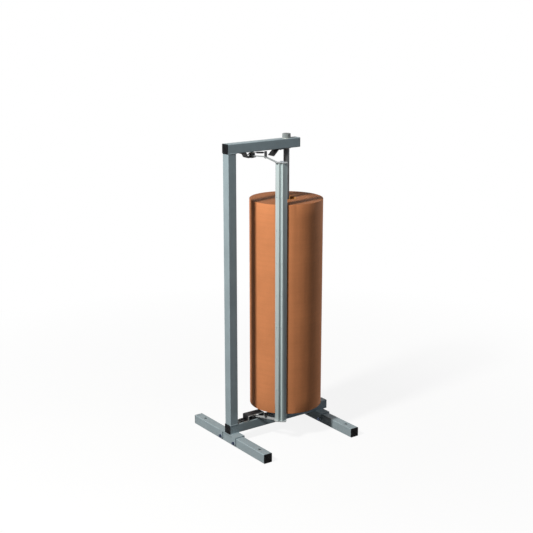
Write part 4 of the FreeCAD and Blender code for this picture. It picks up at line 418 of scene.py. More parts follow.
NODE_FINISH = {
    "tube_paint": ("left_foot", "right_foot", "base_beam", "post", "top_arm", "left_saddle", "right_saddle"),
    "bracket_coat": ("upper_hinge_bracket", "arm_stop", "bridge_screws", "bracket_screws", "stop_screws"),
    "bridge_coat": ("lower_hinge_bridge",),
    "plug_moulding": ("left_foot_plugs", "right_foot_plugs", "beam_left_plug", "beam_right_plug",
                      "arm_left_plug", "arm_right_plug"),
    "bolt_zinc": ("saddle_bolts", "saddle_nuts"),
    "zinc_plate": ("saddle_washers", "hinge_nuts", "blade_nuts", "pad_screws", "hub_screws"),
    "stud_plate": ("lower_hinge_pin", "upper_hinge_pin", "spring_studs"),
    "arm_steel": ("lower_cutter_arm", "upper_cutter_arm"),
    "rail_aluminium": ("cutter_rail", "blade_holder", "rail_rivets", "rail_end_blocks", "blade_screws"),
    "blade_steel": ("cutting_blade",),
    "spring_wire": ("lower_spring", "upper_spring", "collar_set_screw"),
    "nylon_moulding": ("lower_spring_spool", "upper_spring_spool", "thrust_washers", "arm_bushes",
                       "pedestal_bush", "spindle_bushes"),
    "bearing_steel": ("bearing_balls", "lower_race", "upper_race"),
    "cage_brass": ("ball_cage",),
    "turntable_enamel": ("turntable_pedestal", "turntable_disc"),
    "hub_moulding": ("core_hub", "spindle_foot_plug", "spindle_top_plug"),
    "spindle_steel": ("spindle_tube",),
    "collar_steel": ("spindle_collar",),
    "core_board": ("roll_core",),
    "kraft_paper": ("paper_roll",),
}


def give_finish(mesh, finish):
    mesh.materials.clear()
    mesh.materials.append(finishes()[finish])


def dress(*finish_names):
    """Give the frame's own nodes their finishes."""
    for finish in finish_names:
        for name in NODE_FINISH[finish]:
            give_finish(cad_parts[name].data, finish)


# ---------------------------------------------------------------- modelling building blocks


def clear_selection():
    if bpy.context.object and bpy.context.object.mode != "OBJECT":
        bpy.ops.object.mode_set(mode="OBJECT")
    bpy.ops.object.select_all(action="DESELECT")


def pick(made):
    """Select one object alone and make it the active one."""
    clear_selection()
    made.select_set(True)
    bpy.context.view_layer.objects.active = made


def named(name):
    """Name the active object and its mesh."""
    made = bpy.context.object
    made.name = name
    made.data.name = name
    return made


def settle(made):
    """Bring an object's place into its mesh."""
    pick(made)
    bpy.ops.object.transform_apply(location=True, rotation=True, scale=True)
    return made


def started(name, add, **settings):
    """A piece begun as a primitive, added at its size and place."""
    clear_selection()
    add(**settings)
    return settle(named(name))


def edit(made):
    pick(made)
    bpy.ops.object.mode_set(mode="EDIT")


def leave_edit():
    bpy.ops.object.mode_set(mode="OBJECT")


def select_everything():
    bpy.ops.mesh.select_all(action="SELECT")


def select_where(made, kind, test):
    """Select the vertices, edges or faces of an object in edit mode that pass a test."""
    bpy.ops.mesh.select_all(action="DESELECT")
    bpy.ops.mesh.select_mode(type=kind)
    leave_edit()
    parts = {"VERT": made.data.vertices, "EDGE": made.data.edges, "FACE": made.data.polygons}[kind]
    for part in parts:
        part.select = bool(test(part))
    bpy.ops.object.mode_set(mode="EDIT")


def extrude(step):
    bpy.ops.mesh.extrude_region_move(TRANSFORM_OT_translate={"value": step})


def raised(made, height):
    """Extrude a whole outline upwards."""
    edit(made)
    select_everything()
    extrude((0, 0, height))


def normals_outwards():
    select_everything()
    bpy.ops.mesh.normals_make_consistent(inside=False)


def tidy_shell():
    """Merge the doubles of the piece in edit mode and turn its faces outwards."""
    select_everything()
    bpy.ops.mesh.remove_doubles(threshold=CLOSE)
    normals_outwards()


def smooth(made, angle=35):
    pick(made)
    bpy.ops.object.shade_smooth_by_angle(angle=math.radians(angle))


def run_of_points(name, points):
    """An open run of edges: a tiny plate merged to a point, then extruded from place to place."""
    made = started(name, bpy.ops.mesh.primitive_plane_add, size=0.001, location=points[0])
    edit(made)
    bpy.ops.mesh.select_mode(type="VERT")
    select_everything()
    bpy.ops.mesh.merge(type="CENTER")
    for before, after in zip(points, points[1:]):
        extrude(Vector(after) - Vector(before))
    leave_edit()
    return made


def spun(name, profile, steps, centre=(0, 0, 0)):
    """A turned piece: a closed or axis-to-axis profile of radii and heights, spun about Z."""
    made = run_of_points(name, [(centre[0] + radius, 0, level) for radius, level in profile])
    edit(made)
    select_everything()
    bpy.ops.mesh.spin(steps=steps, angle=2 * math.pi, center=centre, axis=UP)
    tidy_shell()
    leave_edit()
    smooth(made)
    return made


def apply_modifier(made, kind, **settings):
    """Add a modifier, set it and apply it."""
    modifier = made.modifiers.new(kind.title(), kind)
    for name, value in settings.items():
        setattr(modifier, name, value)
    pick(made)
    bpy.ops.object.modifier_apply(modifier=modifier.name)


def arrayed(made, count, step):
    """Repeat a piece at equal steps."""
    apply_modifier(made, "ARRAY", count=count, use_relative_offset=False, use_constant_offset=True,
                   constant_offset_displace=step)


def cut_with(made, tool):
    """Take a tool's shape out of a piece."""
    apply_modifier(made, "BOOLEAN", object=tool, operation="DIFFERENCE", solver="EXACT")
    discard(tool)


def discard(*tools):
    for tool in tools:
        bpy.data.objects.remove(tool)


def bevel_where(made, test, width, segments=2, kind="EDGE"):
    """Round the edges or corners that pass a test."""
    edit(made)
    select_where(made, kind, test)
    affect = "EDGES" if kind == "EDGE" else "VERTICES"
    bpy.ops.mesh.bevel(offset=width, segments=segments, affect=affect, clamp_overlap=True)
    leave_edit()


def ends_of(made, edge):
    return [made.data.vertices[i].co for i in edge.vertices]


def upright(made, edge):
    """True for an edge that runs along Z."""
    first, second = ends_of(made, edge)
    return (first.xy - second.xy).length < CLOSE


def level_at(made, edge, height):
    """True for an edge that lies at a height."""
    return all(abs(end.z - height) < CLOSE for end in ends_of(made, edge))


def copied(made, shift, turn):
    """A copy with its own mesh, turned about the origin and then moved."""
    pick(made)
    bpy.ops.object.duplicate()
    twin = bpy.context.object
    twin.matrix_world = Matrix.Translation(shift) @ turn.to_4x4()
    return settle(twin)


def joined(parts, name):
    clear_selection()
    for part in parts:
        part.select_set(True)
    bpy.context.view_layer.objects.active = parts[0]
    if len(parts) > 1:
        bpy.ops.object.join()
    return named(name)


def finish_piece(made, body, finish, slot, *stands_for):
    """Material, body and the nodes that the piece stands for, which are hidden; slot is not used."""
    give_finish(made.data, finish)
    clear_selection()
    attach(made, body)
    if stands_for:
        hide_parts(*stands_for)


def turned_to(direction):
    """The rotation that takes +Z to a direction."""
    return Vector(direction).to_track_quat("Z", "Y").to_matrix()


def upright_facing(outward):
    """The rotation that takes +Z outwards and +Y up."""
    out = Vector(outward)
    return Matrix((UP.cross(out), UP, out)).transposed()


# ---------------------------------------------------------------- frame, plugs and welds


class CUTTER_OT_frame(bpy.types.Operator):
    """Paint the tubes and saddles"""

    bl_idname = "cutter.frame"
    bl_label = "Frame tubes"

    def execute(self, context):
        dress("tube_paint")
        return {"FINISHED"}


def ribbed_plug(side, cap):
    """A tube plug facing +Z from z = 0: a rounded cap with a sunk ribbed face, and its skirt."""
    corner, rim, border, lip, sink = 0.003, 0.0007, 0.0028, 0.0003, 0.0009
    wall, skirt = 0.0027, 0.016
    rib, rib_ends, rib_height, rib_depth, rib_soft, ribs = 0.0021, 0.0115, 0.0010, 0.0007, 0.0003, 5
    large = side * side / 4
    made = started("plug_cap", bpy.ops.mesh.primitive_cube_add, size=1, location=(0, 0, cap / 2),
                   scale=(side, side, cap))
    bevel_where(made, lambda e: upright(made, e), corner, 5)
    bevel_where(made, lambda e: level_at(made, e, cap), rim)
    edit(made)
    select_where(made, "FACE", lambda f: f.normal.z > 0.9 and f.area > large)
    bpy.ops.mesh.inset(thickness=border, depth=0)
    bpy.ops.mesh.inset(thickness=lip, depth=-sink)
    select_where(made, "FACE", lambda f: f.normal.z < -0.9 and f.area > large)
    bpy.ops.mesh.inset(thickness=wall, depth=0)
    extrude((0, 0, -skirt))
    leave_edit()
    pitch = bpy.context.scene.cutter_sizes.rib_pitch
    bar = started("plug_rib", bpy.ops.mesh.primitive_cube_add, size=1,
                  location=(-2 * pitch, 0, cap - rib_depth), scale=(rib, side - rib_ends, rib_height))
    bevel_where(bar, lambda e: level_at(bar, e, cap - rib_depth + rib_height / 2), rib_soft)
    arrayed(bar, ribs, (pitch, 0, 0))
    made = joined([made, bar], "tube_plug")
    smooth(made, 30)
    return made


class CUTTER_OT_plugs(bpy.types.Operator):
    """Model the ribbed plastic plugs in the ends of the tubes"""

    bl_idname = "cutter.plugs"
    bl_label = "Tube plugs"

    def execute(self, context):
        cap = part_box("base_beam")[0].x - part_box("beam_left_plug")[0].x
        pattern = ribbed_plug(context.scene.cutter_sizes.tube_side, cap)
        for node_name in NODE_FINISH["plug_moulding"]:
            low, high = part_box(node_name)
            centre = (low + high) / 2
            if node_name.endswith("foot_plugs"):
                faces = [((centre.x, low.y + cap, centre.z), (0, -1, 0)),
                         ((centre.x, high.y - cap, centre.z), (0, 1, 0))]
            elif "left" in node_name:
                faces = [((low.x + cap, centre.y, centre.z), (-1, 0, 0))]
            else:
                faces = [((high.x - cap, centre.y, centre.z), (1, 0, 0))]
            plugs = [copied(pattern, spot, upright_facing(outward)) for spot, outward in faces]
            plug = joined(plugs, node_name + "_ribbed")
            finish_piece(plug, "frame", "plug_moulding", "plug_black", node_name)
        discard(pattern)
        return {"FINISHED"}


def bead(name, start, end):
    """A straight weld bead: one ripple repeated along the seam."""
    sizes = bpy.context.scene.cutter_sizes
    run = Vector(end) - Vector(start)
    count = max(2, round(run.length / sizes.weld_pitch))
    made = started(name, bpy.ops.mesh.primitive_uv_sphere_add, segments=12, ring_count=8,
                   radius=sizes.weld_radius, location=start)
    arrayed(made, count, run / (count - 1))
    smooth(made, 70)
    return made


class CUTTER_OT_welds(bpy.types.Operator):
    """Lay the weld beads between post, arm, beam and saddles"""

    bl_idname = "cutter.welds"
    bl_label = "Weld beads"

    def execute(self, context):
        proud, sunk, inset = 0.0004, 0.0006, 0.0012
        seam_end, corner_end, saddle_end = 0.002, 0.004, 0.003
        low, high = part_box("post")
        joints = []
        for level, sign in ((low.z, 1), (high.z, -1)):
            seam = level - sign * sunk
            for y in (low.y + inset, high.y - inset):
                joints.append(((low.x + seam_end, y, seam), (high.x - seam_end, y, seam)))
            back, corner = high.x + proud, level + sign * proud
            joints.append(((back, low.y + corner_end, corner), (back, high.y - corner_end, corner)))
        beam_low, beam_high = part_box("base_beam")
        for saddle in ("left_saddle", "right_saddle"):
            near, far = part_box(saddle)
            start, end, top = max(near.x, beam_low.x) + saddle_end, far.x - saddle_end, far.z + proud
            for y in (beam_low.y + proud, beam_high.y - proud):
                joints.append(((start, y, top), (end, y, top)))
        beads = [bead(f"bead_{i}", a, b) for i, (a, b) in enumerate(joints)]
        finish_piece(joined(beads, "weld_beads"), "frame", "weld_paint", "tube_steel")
        return {"FINISHED"}


# ---------------------------------------------------------------- fasteners


def rod(name, sides, radius, depth, level):
    """A straight rod on the Z axis with its middle at a level."""
    return started(name, bpy.ops.mesh.primitive_cylinder_add, vertices=sides, radius=radius,
                   depth=depth, location=(0, 0, level))


def hexagon(name, flats, high, bore=0.0):
    """A hexagon prism up the Z axis from z = 0 with chamfered outer corners, bored if asked."""
    chamfer = bpy.context.scene.cutter_sizes.head_chamfer
    made = rod(name, 6, flats / math.sqrt(3), high, high / 2)
    ends = (0, high) if bore else (high,)
    bevel_where(made, lambda v: any(abs(v.co.z - end) < CLOSE for end in ends), chamfer, 2, "VERT")
    if bore:
        cut_with(made, rod("bore", 32, bore, high * 3, high / 2))
    smooth(made, 25)
    return made


def thread(name, radius, low, high, pitch):
    """A threaded end along Z: flat-topped ridges turned round the axis between two flat ends."""
    root = radius - pitch * 0.54
    crest = (0.42, 0.58)  # shares of the pitch between which a ridge is at its full height
    profile = [(0, low), (root, low)]
    level = low
    while level + pitch < high - (radius - root):
        profile += [(radius, level + pitch * share) for share in crest]
        level += pitch
        profile.append((root, level))
    return spun(name, profile + [(root, high), (0, high)], 28)


class CUTTER_OT_saddle_bolts(bpy.types.Operator):
    """Model the saddles' bolts, washers and nuts with chamfers and threads"""

    bl_idname = "cutter.saddle_bolts"
    bl_label = "Saddle bolts"

    def execute(self, context):
        pitch = context.scene.cutter_sizes.thread_pitch
        flats, head, nut, plate = 0.013, 0.0053, 0.0065, 0.0016
        shank, washer, past_nut, rim, soft = 0.004, 0.008, 0.003, 0.0002, 0.0003
        low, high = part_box("saddle_bolts")
        level = (low.z + high.z) / 2
        saddle_low, saddle_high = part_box("left_saddle")
        grip = saddle_high.x - saddle_low.x + 2 * plate
        end = grip + nut + past_nut
        stem = spun("bolt_stem", [(0, 0.0), (shank, 0.0), (shank, -grip), (0, -grip)], 28)
        tip = thread("bolt_tip", shank, -end, -grip, pitch)
        bolt = joined([hexagon("bolt_head", flats, head), stem, tip], "bolt")
        bore = shank * 1.08
        ring = [(bore, 0), (washer - rim, 0), (washer, soft), (washer, plate - soft),
                (washer - rim, plate), (bore, plate), (bore, 0)]
        flat_ring = spun("washer", ring, 40)
        hexagon_nut = hexagon("nut", flats, nut, shank)
        bolts, washers, nuts = [], [], []
        outwards = turned_to((-1, 0, 0))
        for saddle in ("left_saddle", "right_saddle"):
            near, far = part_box(saddle)
            for y in (low.y + flats / 2, high.y - flats / 2):
                bolts.append(copied(bolt, (near.x - plate, y, level), outwards))
                washers.append(copied(flat_ring, (near.x, y, level), outwards))
                washers.append(copied(flat_ring, (far.x + plate, y, level), outwards))
                nuts.append(copied(hexagon_nut, (far.x + plate + nut, y, level), outwards))
        discard(bolt, flat_ring, hexagon_nut)
        finish_piece(joined(bolts, "hexagon_bolts"), "frame", "bolt_zinc", "zinc", "saddle_bolts")
        finish_piece(joined(washers, "bolt_washers"), "frame", "zinc_plate", "zinc", "saddle_washers")
        finish_piece(joined(nuts, "hexagon_nuts"), "frame", "bolt_zinc", "zinc", "saddle_nuts")
        return {"FINISHED"}


def button_head(radius, height):
    """The outline of a domed screw head."""
    straight, steps = 0.25, 8
    turns = [math.radians(90 * i / steps) for i in range(steps)]
    dome = [straight + (1 - straight) * math.sin(turn) for turn in turns]
    return [(radius * math.cos(turn), height * share) for turn, share in zip(turns, dome)]


def cap_head(radius, height):
    """The outline of a tall round screw head with a soft rim."""
    soft = radius * 0.16
    round_in = soft * 0.4
    return [(radius, height - soft), (radius - round_in, height - round_in), (radius - soft, height)]


def socket_screw(outline, radius, height, shank, grip, key, depth):
    """A screw on the Z axis: its shank, its head turned from an outline, and a hexagon socket."""
    profile = [(0, -grip), (shank, -grip), (shank, 0), (radius, 0), *outline(radius, height), (0, height)]
    made = spun("screw", profile, 32)
    cut_with(made, rod("screw_key", 6, key / math.sqrt(3), depth, height))
    smooth(made, 30)
    return made


class CUTTER_OT_plate_screws(bpy.types.Operator):
    """Coat the hinge brackets and the arm stop, and model their button screws"""

    bl_idname = "cutter.plate_screws"
    bl_label = "Bracket screws"

    def execute(self, context):
        dress("bracket_coat", "bridge_coat")
        head, height, shank, grip, key = 0.00475, 0.003, 0.0025, 0.010, 0.003
        pattern = socket_screw(button_head, head, height, shank, grip, key, height * 1.3)
        for node_name in ("bridge_screws", "bracket_screws", "stop_screws"):
            on_top = node_name == "bridge_screws"
            low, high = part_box(node_name)
            level = high.z - height if on_top else low.z + height
            columns = (low.x + head, high.x - head) if on_top else ((low.x + high.x) / 2,)
            turn = turned_to((0, 0, 1 if on_top else -1))
            rows = (low.y + head, high.y - head)
            made = [copied(pattern, (x, y, level), turn) for x in columns for y in rows]
            screws = joined(made, node_name + "_detailed")
            finish_piece(screws, "frame", "bracket_coat", "bracket_black", node_name)
        discard(pattern)
        return {"FINISHED"}


# ---------------------------------------------------------------- hinges and springs


class CUTTER_OT_hinges(bpy.types.Operator):
    """Finish the hinge pins, and every plain nut, washer, screw and nylon bush"""

    bl_idname = "cutter.hinges"
    bl_label = "Hinge pins and spools"

    def execute(self, context):
        dress("zinc_plate", "bolt_zinc", "stud_plate", "nylon_moulding")
        return {"FINISHED"}


LEG_RISE = {"lower_spring": 0.0, "upper_spring": 0.008}  # from the coil up to the leg's end
LEG_TAIL = 0.012  # how far a leg runs past its stud


def stud_place():
    """The spring studs' place seen from above, and their radius."""
    low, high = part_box("spring_studs")
    return (low.x + high.x) / 2, (low.y + high.y) / 2, (high.x - low.x) / 2


def spring_leg(node_name):
    """The moving leg of a spring: its start on the coil, direction and angle, the span to the stud,
    the run to its end, and its height at the coil and at the stud."""
    wire = bpy.context.scene.cutter_sizes.wire_radius
    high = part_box(node_name)[1]
    x, y, stud_radius = stud_place()
    radius = high.y - wire
    stud = Vector((x, y, 0)) - PIVOT
    steepest = 0.9  # sine of the widest angle between a leg and the line from pivot to stud
    lean = -math.asin(min(steepest, (radius + stud_radius + wire) / stud.length))
    angle = math.atan2(stud.y, stud.x) + lean
    direction = Vector((math.cos(angle), math.sin(angle), 0))
    start = Vector((-direction.y, direction.x, 0)) * radius
    span = stud.length * math.cos(lean)
    rise = LEG_RISE[node_name]
    run = direction * (span + LEG_TAIL) + UP * rise
    level = high.z - wire - rise
    at_stud = level + rise * span / (span + LEG_TAIL)
    return SimpleNamespace(start=start, direction=direction, angle=angle, span=span, run=run,
                           level=level, at_stud=at_stud)


def coil_spring(name, node_name):
    """A torsion spring: its wound coil and its two straight legs."""
    wire = bpy.context.scene.cutter_sizes.wire_radius
    low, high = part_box(node_name)
    radius = high.y - wire
    leg = spring_leg(node_name)
    bottom = low.z + wire
    rise = leg.level - bottom
    sides, steps, in_line, reach = 14, 96, 1e-5, wire * 1.01
    sweep = 4 * math.pi + (-leg.angle) % (2 * math.pi)
    made = started(name, bpy.ops.mesh.primitive_circle_add, vertices=sides, radius=wire,
                   location=(0, radius, 0), rotation=(0, math.pi / 2, 0))
    apply_modifier(made, "SCREW", angle=-sweep, screw_offset=rise, steps=steps, render_steps=steps,
                   axis="Z", use_smooth_shade=True, use_merge_vertices=False)
    edit(made)

    def on_first_ring(v):
        return abs(v.co.x) < in_line and v.co.y > radius - 2 * wire and v.co.z < reach

    def on_last_ring(v):
        flat = Vector((v.co.x, v.co.y, 0)) - leg.start
        level = abs(v.co.z - rise) < reach
        return level and abs(flat.dot(leg.direction)) < in_line and flat.length < 2 * wire

    for ring, run in ((on_first_ring, (-abs(low.x - PIVOT.x), 0, 0)), (on_last_ring, leg.run)):
        select_where(made, "VERT", ring)
        bpy.ops.mesh.edge_face_add()
        extrude(run)
    tidy_shell()
    leave_edit()
    smooth(made, 50)
    made.location = (PIVOT.x, 0, bottom)
    settle(made)
    give_finish(made.data, "spring_wire")
    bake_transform(made)
    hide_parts(node_name)


def spring_sleeve(node_name):
    """A rubber sleeve with rounded ends on the moving leg of a spring."""
    sizes = bpy.context.scene.cutter_sizes
    leg = spring_leg(node_name)
    inner, outer, soft = sizes.wire_radius * 1.05, sizes.sleeve_radius, 0.0008
    begin, clear = 0.016, 0.0075
    reach = leg.span - begin - clear
    profile = [(inner, 0), (outer - soft, 0), (outer, soft), (outer, reach - soft),
               (outer - soft, reach), (inner, reach), (inner, 0)]
    made = spun("sleeve", profile, 28)
    spot = PIVOT + leg.start + UP * leg.level + leg.run.normalized() * begin
    twin = copied(made, spot, turned_to(leg.run))
    discard(made)
    return twin


def stud_post(arm_face, tip, leg_level):
    """A waisted stud that a spring leg lies against, between an arm's face and its tip, and its nut."""
    sign = 1 if tip > arm_face else -1
    length, waist = abs(tip - arm_face), abs(leg_level - arm_face)
    neck, rim, gap, soft = 0.0045, 0.0058, 0.0018, 0.0006
    bolt, bolt_end, bolt_length, bolt_tip = 0.0025, 0.002, 0.0052, 0.0057
    flats, nut_height, nut_bore = 0.010, 0.0045, 0.0026
    under, over = waist - gap, waist + gap
    if under > 2 * soft:
        foot = [(rim, 0), (rim, under - soft), (rim - soft, under), (neck, under)]
    else:
        foot = [(neck, 0)]
    profile = [(0, 0), *foot, (neck, over), (rim - soft, over), (rim, over + soft),
               (rim, length - soft), (rim - soft, length), (0, length)]
    post = spun("stud_post", profile, 32)
    nut = hexagon("stud_nut", flats, nut_height, nut_bore)
    end = [(0, 0), (bolt, 0), (bolt, bolt_length), (bolt_end, bolt_tip), (0, bolt_tip)]
    shank = spun("stud_end", end, 24)
    x, y, _ = stud_place()
    arm_back = arm_face - sign * size_of("lower_cutter_arm").z
    made = [copied(post, (x, y, arm_face), turned_to((0, 0, sign)))]
    made += [copied(part, (x, y, arm_back), turned_to((0, 0, -sign))) for part in (nut, shank)]
    discard(post, nut, shank)
    return made


class CUTTER_OT_springs(bpy.types.Operator):
    """Wind the two torsion springs, and make the sleeves on their legs and the studs they push"""

    bl_idname = "cutter.springs"
    bl_label = "Torsion springs"

    def execute(self, context):
        dress("spring_wire")
        coil_spring("lower_torsion_spring", "lower_spring")
        coil_spring("upper_torsion_spring", "upper_spring")
        sleeves = [spring_sleeve("lower_spring"), spring_sleeve("upper_spring")]
        finish_piece(joined(sleeves, "spring_sleeves"), "cutter", "sleeve_rubber", "plug_black")
        low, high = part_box("spring_studs")
        studs = stud_post(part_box("lower_cutter_arm")[0].z, low.z, spring_leg("lower_spring").at_stud)
        studs += stud_post(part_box("upper_cutter_arm")[1].z, high.z, spring_leg("upper_spring").at_stud)
        finish_piece(joined(studs, "waisted_studs"), "cutter", "stud_plate", "zinc", "spring_studs")
        return {"FINISHED"}


# ---------------------------------------------------------------- cutter bar


def bar_place(across, out, level):
    """A place given across the bar (towards the post), out from the paper, and its height."""
    return BAR_FOOT + BAR_SIDE * across + BAR_OUT * out + UP * level


def folded_strip(name, corners, wall, low, high):
    """A folded sheet with rounded folds, extruded up from its outer outline."""
    points = [bar_place(a, b, low) for a, b in corners]
    made = run_of_points(name, points)
    raised(made, high - low)

    def is_fold(e):
        foot = ends_of(made, e)[0].xy
        return upright(made, e) and any((foot - fold.xy).length < 1e-5 for fold in points[1:-1])

    select_where(made, "EDGE", is_fold)
    bpy.ops.mesh.bevel(offset=bpy.context.scene.cutter_sizes.fold_radius, segments=4, affect="EDGES")
    normals_outwards()
    leave_edit()
    if max(made.data.polygons, key=lambda f: f.area).normal.dot(BAR_OUT) < 0:
        edit(made)
        select_everything()
        bpy.ops.mesh.flip_normals()
        leave_edit()
    apply_modifier(made, "SOLIDIFY", thickness=wall, offset=-1.0, use_even_offset=True)
    apply_modifier(made, "BEVEL", width=0.0003, segments=2, limit_method="ANGLE",
                   angle_limit=math.radians(60))
    smooth(made, 30)
    return made


class CUTTER_OT_bar(bpy.types.Operator):
    """Fold the ridged rail and the blade holder, and finish the blade, blocks, rivets and screws"""

    bl_idname = "cutter.bar"
    bl_label = "Cutter bar"

    def execute(self, context):
        dress("rail_aluminium", "blade_steel")
        rail_wall, holder_wall = 0.002, 0.0015
        near_side, far_side, lip_side = 0.0106, 0.0223, 0.0066
        holder_rise, holder_side, tongue_drop, tongue_side = 0.0115, 0.0242, 0.002, 0.008
        half = math.sqrt(0.5)
        rising, falling = Vector((half, half)), Vector((half, -half))
        slope = math.radians(47)
        ridge = Vector((-0.0086, 0.0214))
        groove = ridge + falling * near_side
        foot = ridge - rising * far_side
        lip = foot - Vector((0, lip_side))
        holder_top = groove + rising * holder_rise
        edge = holder_top + Vector((math.cos(slope), -math.sin(slope))) * holder_side
        bend = groove - rising * tongue_drop
        tongue = bend - falling * tongue_side
        rail = folded_strip("ridged_rail", [lip, foot, ridge, groove], rail_wall, RAIL_LOW, RAIL_HIGH)
        finish_piece(rail, "cutter", "rail_aluminium", "rail_steel", "cutter_rail")
        outline = [tongue, bend, holder_top, edge]
        holder = folded_strip("folded_holder", outline, holder_wall, RAIL_LOW, RAIL_HIGH)
        finish_piece(holder, "cutter", "rail_aluminium", "rail_steel", "blade_holder")
        return {"FINISHED"}


class CUTTER_OT_arms(bpy.types.Operator):
    """Finish the two cutter arms and model the screws in their end pads"""

    bl_idname = "cutter.arms"
    bl_label = "Cutter arms"

    def execute(self, context):
        dress("arm_steel")
        head, height, shank, grip, key = 0.0035, 0.005, 0.002, 0.012, 0.003
        pattern = socket_screw(cap_head, head, height, shank, grip, key, height)
        low_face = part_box("lower_cutter_arm")[0].z
        top_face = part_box("upper_cutter_arm")[0].z + size_of("lower_cutter_arm").z
        columns, row = (0.0012, -0.0072), 0.0063
        made = []
        for column in columns:
            spot = bar_place(column, row, 0)
            for face, way in ((top_face, 1), (low_face, -1)):
                made.append(copied(pattern, (spot.x, spot.y, face), turned_to((0, 0, way))))
        discard(pattern)
        finish_piece(joined(made, "pad_button_screws"), "cutter", "zinc_plate", "zinc", "pad_screws")
        return {"FINISHED"}


# ---------------------------------------------------------------- turntable, roll and spindle


class CUTTER_OT_turntable(bpy.types.Operator):
    """Finish the pedestal, bearing, disc, core hub and the spindle's plugs"""

    bl_idname = "cutter.turntable"
    bl_label = "Turntable"

    def execute(self, context):
        dress("turntable_enamel", "bearing_steel", "cage_brass", "hub_moulding")
        return {"FINISHED"}


def ripple(i, pace):
    """A fixed uneven value between -1 and 1."""
    return math.sin(i * pace) * 0.6 + math.sin(i * pace * 2.7 + 1.3) * 0.4


def roll_profile():
    """Half section of the wound paper: uneven layer ends, a soft rim and a near-straight side."""
    step = bpy.context.scene.cutter_sizes.ring_step
    inner, outer, top, floor = CORE_RADIUS, ROLL_RADIUS, ROLL_HIGH.z, ROLL_LOW.z
    rings, levels = 46, 16
    rim_in, rim_down, soft_in, soft_down, wave = 0.0012, 0.0012, 0.0004, 0.0003, 0.00012
    end_pace, side_pace = 1.9, 2.3
    ends, side = [], []
    for i in range(rings + 1):
        ends.append((inner + (outer - rim_in - inner) * i / rings, step * (ripple(i, end_pace) - 1)))
    for i in range(1, levels):
        side.append((outer + wave * (ripple(i, side_pace) - 1), top - (top - floor) * i / levels))
    crest = [(radius, top + lift) for radius, lift in ends]
    base = [(radius, floor - lift) for radius, lift in reversed(ends)]
    rim = [(outer - soft_in, top - soft_down), (outer, top - rim_down)]
    foot = [(outer, floor + rim_down), (outer - soft_in, floor + soft_down)]
    return crest + rim + side + foot + base + [crest[0]]


def paper_tail():
    """The free end of the paper: a thin sheet hugging the roll that ends at the blade's edge."""
    lift = bpy.context.scene.cutter_sizes.tail_gap
    start, end, count = math.radians(253), math.radians(215.2), 26
    tuck, clear, margin, sheet = 0.0006, 0.0002, 0.001, 0.00015
    tucked, lifted = 0.2, 0.14  # shares of the length that dip into the roll and stand off it
    points = []
    for i in range(count + 1):
        share = i / count
        angle = start + (end - start) * share
        radius = ROLL_RADIUS - tuck * max(0.0, tucked - share) / tucked
        radius += clear + lift * max(0.0, share - (1 - lifted)) / lifted
        points.append((AXIS.x + radius * math.cos(angle), radius * math.sin(angle), ROLL_LOW.z + margin))
    made = run_of_points("paper_tail", points)
    raised(made, ROLL_HIGH.z - ROLL_LOW.z - 2 * margin)
    normals_outwards()
    leave_edit()
    apply_modifier(made, "SOLIDIFY", thickness=sheet, offset=0.0)
    smooth(made, 40)
    return made


class CUTTER_OT_roll(bpy.types.Operator):
    """Wind the paper roll with its layered ends, its free edge and its board core"""

    bl_idname = "cutter.roll"
    bl_label = "Paper roll"

    def execute(self, context):
        dress("core_board", "kraft_paper")
        wound = spun("wound_paper", roll_profile(), 220, AXIS)
        finish_piece(wound, "paper_roll", "kraft_paper", "kraft", "paper_roll")
        finish_piece(paper_tail(), "paper_roll", "kraft_paper", "kraft")
        return {"FINISHED"}


class CUTTER_OT_spindle(bpy.types.Operator):
    """Finish the spindle's tube and its collar"""

    bl_idname = "cutter.spindle"
    bl_label = "Spindle and collar"

    def execute(self, context):
        dress("spindle_steel", "collar_steel")
        return {"FINISHED"}


# ---------------------------------------------------------------- stage


FLOOR_SIDE, FLOOR_DROP = 60, 0.0006
SKY_LIGHT = 0.032  # strength of the world's own light on the object
CAMERA_SPOT = Vector((-2.69867, -3.67949, 1.92914))
CAMERA_TARGET = Vector((-0.0483, 0, 0.75358))
CAMERA_LENS, CAMERA_SENSOR, CAMERA_REACH = 74.62, 36, 100


def aimed(name, data, spot, target):
    """Put a lamp or camera in the scene, looking at a target."""
    made = bpy.data.objects.new(name, data)
    made.location = spot
    made.rotation_euler = (Vector(target) - Vector(spot)).to_track_quat("-Z", "Y").to_euler()
    bpy.context.scene.collection.objects.link(made)
    return made


def area_light(name, spot, height, power, span, tint):
    """A round lamp that looks at a height on the middle line."""
    data = bpy.data.lights.new(name, "AREA")
    data.shape = "DISK"
    data.size = span
    data.energy = power
    data.color = tint
    aimed(name, data, spot, (0, 0, height))


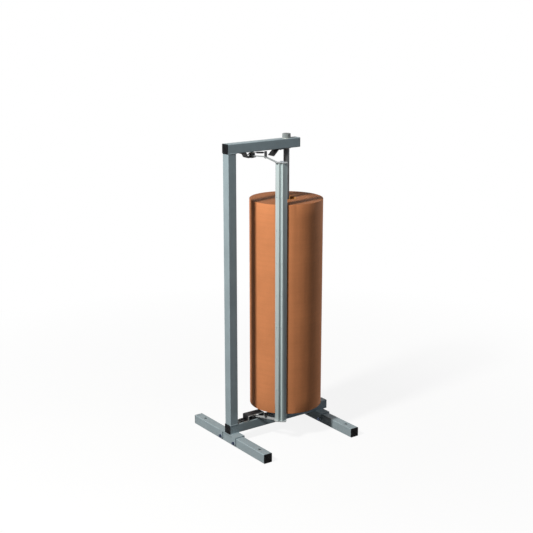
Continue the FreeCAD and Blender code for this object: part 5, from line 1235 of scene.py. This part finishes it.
class CUTTER_OT_stage(bpy.types.Operator):
    """Lay the pale floor, set the lights and the camera"""

    bl_idname = "cutter.stage"
    bl_label = "Stage"

    def execute(self, context):
        scene = context.scene
        span = scene.cutter_sizes.light_span
        floor = started("studio_floor", bpy.ops.mesh.primitive_plane_add, size=FLOOR_SIDE,
                        location=(0, 0, -FLOOR_DROP))
        floor.data.materials.append(backdrop_material("studio_floor", scene.cutter_colours.backdrop))
        scene.world = bpy.data.worlds.new("studio")
        sky = Coat(scene.world)
        seen = sky.seen()[1]
        background = sky.tree.nodes["Background"]
        sky.put(background.inputs["Color"], sky.mixed(seen, (0.85, 0.95, 1.0, 1), (1, 1, 1, 1)))
        sky.put(background.inputs["Strength"], sky.ranged(seen, SKY_LIGHT, 1.0))
        area_light("key", (-3.41, -0.64, 3.52), 0.75, 235, span, (1.0, 0.985, 0.95))
        area_light("fill", (2.55, -2.10, 1.40), 0.6, 8, 1.6, (0.60, 0.78, 1.0))
        area_light("side", (3.20, -0.25, 1.20), 0.6, 20, 1.0, (1.0, 0.95, 0.90))
        camera = bpy.data.cameras.new("camera")
        camera.lens = CAMERA_LENS
        camera.sensor_width = CAMERA_SENSOR
        camera.clip_end = CAMERA_REACH
        scene.camera = aimed("camera", camera, CAMERA_SPOT, CAMERA_TARGET)
        scene.view_settings.view_transform = "Standard"
        return {"FINISHED"}


# ---------------------------------------------------------------- panel, registration and run

OPERATORS = (
    CUTTER_OT_frame,
    CUTTER_OT_plugs,
    CUTTER_OT_welds,
    CUTTER_OT_saddle_bolts,
    CUTTER_OT_plate_screws,
    CUTTER_OT_hinges,
    CUTTER_OT_springs,
    CUTTER_OT_arms,
    CUTTER_OT_bar,
    CUTTER_OT_turntable,
    CUTTER_OT_roll,
    CUTTER_OT_spindle,
    CUTTER_OT_stage,
)


class CUTTER_PT_panel(bpy.types.Panel):
    """Lists the cutter's colours, sizes and steps"""

    bl_idname = "CUTTER_PT_panel"
    bl_label = "Roll Cutter"
    bl_space_type = "VIEW_3D"
    bl_region_type = "UI"
    bl_category = "Roll Cutter"

    def draw(self, context):
        for settings in (context.scene.cutter_colours, context.scene.cutter_sizes):
            for name in settings.__annotations__:
                self.layout.prop(settings, name)
        for operator in OPERATORS:
            self.layout.operator(operator.bl_idname)


CLASSES = (CutterColours, CutterSizes, *OPERATORS, CUTTER_PT_panel)


def register():
    for item in CLASSES:
        bpy.utils.register_class(item)
    bpy.types.Scene.cutter_colours = bpy.props.PointerProperty(type=CutterColours)
    bpy.types.Scene.cutter_sizes = bpy.props.PointerProperty(type=CutterSizes)


def unregister():
    del bpy.types.Scene.cutter_sizes
    del bpy.types.Scene.cutter_colours
    for item in reversed(CLASSES):
        bpy.utils.unregister_class(item)


def main():
    """Build every piece."""
    register()
    for operator in OPERATORS:
        family, name = operator.bl_idname.split(".")
        getattr(getattr(bpy.ops, family), name)()


if __name__ == "__main__":
    main()
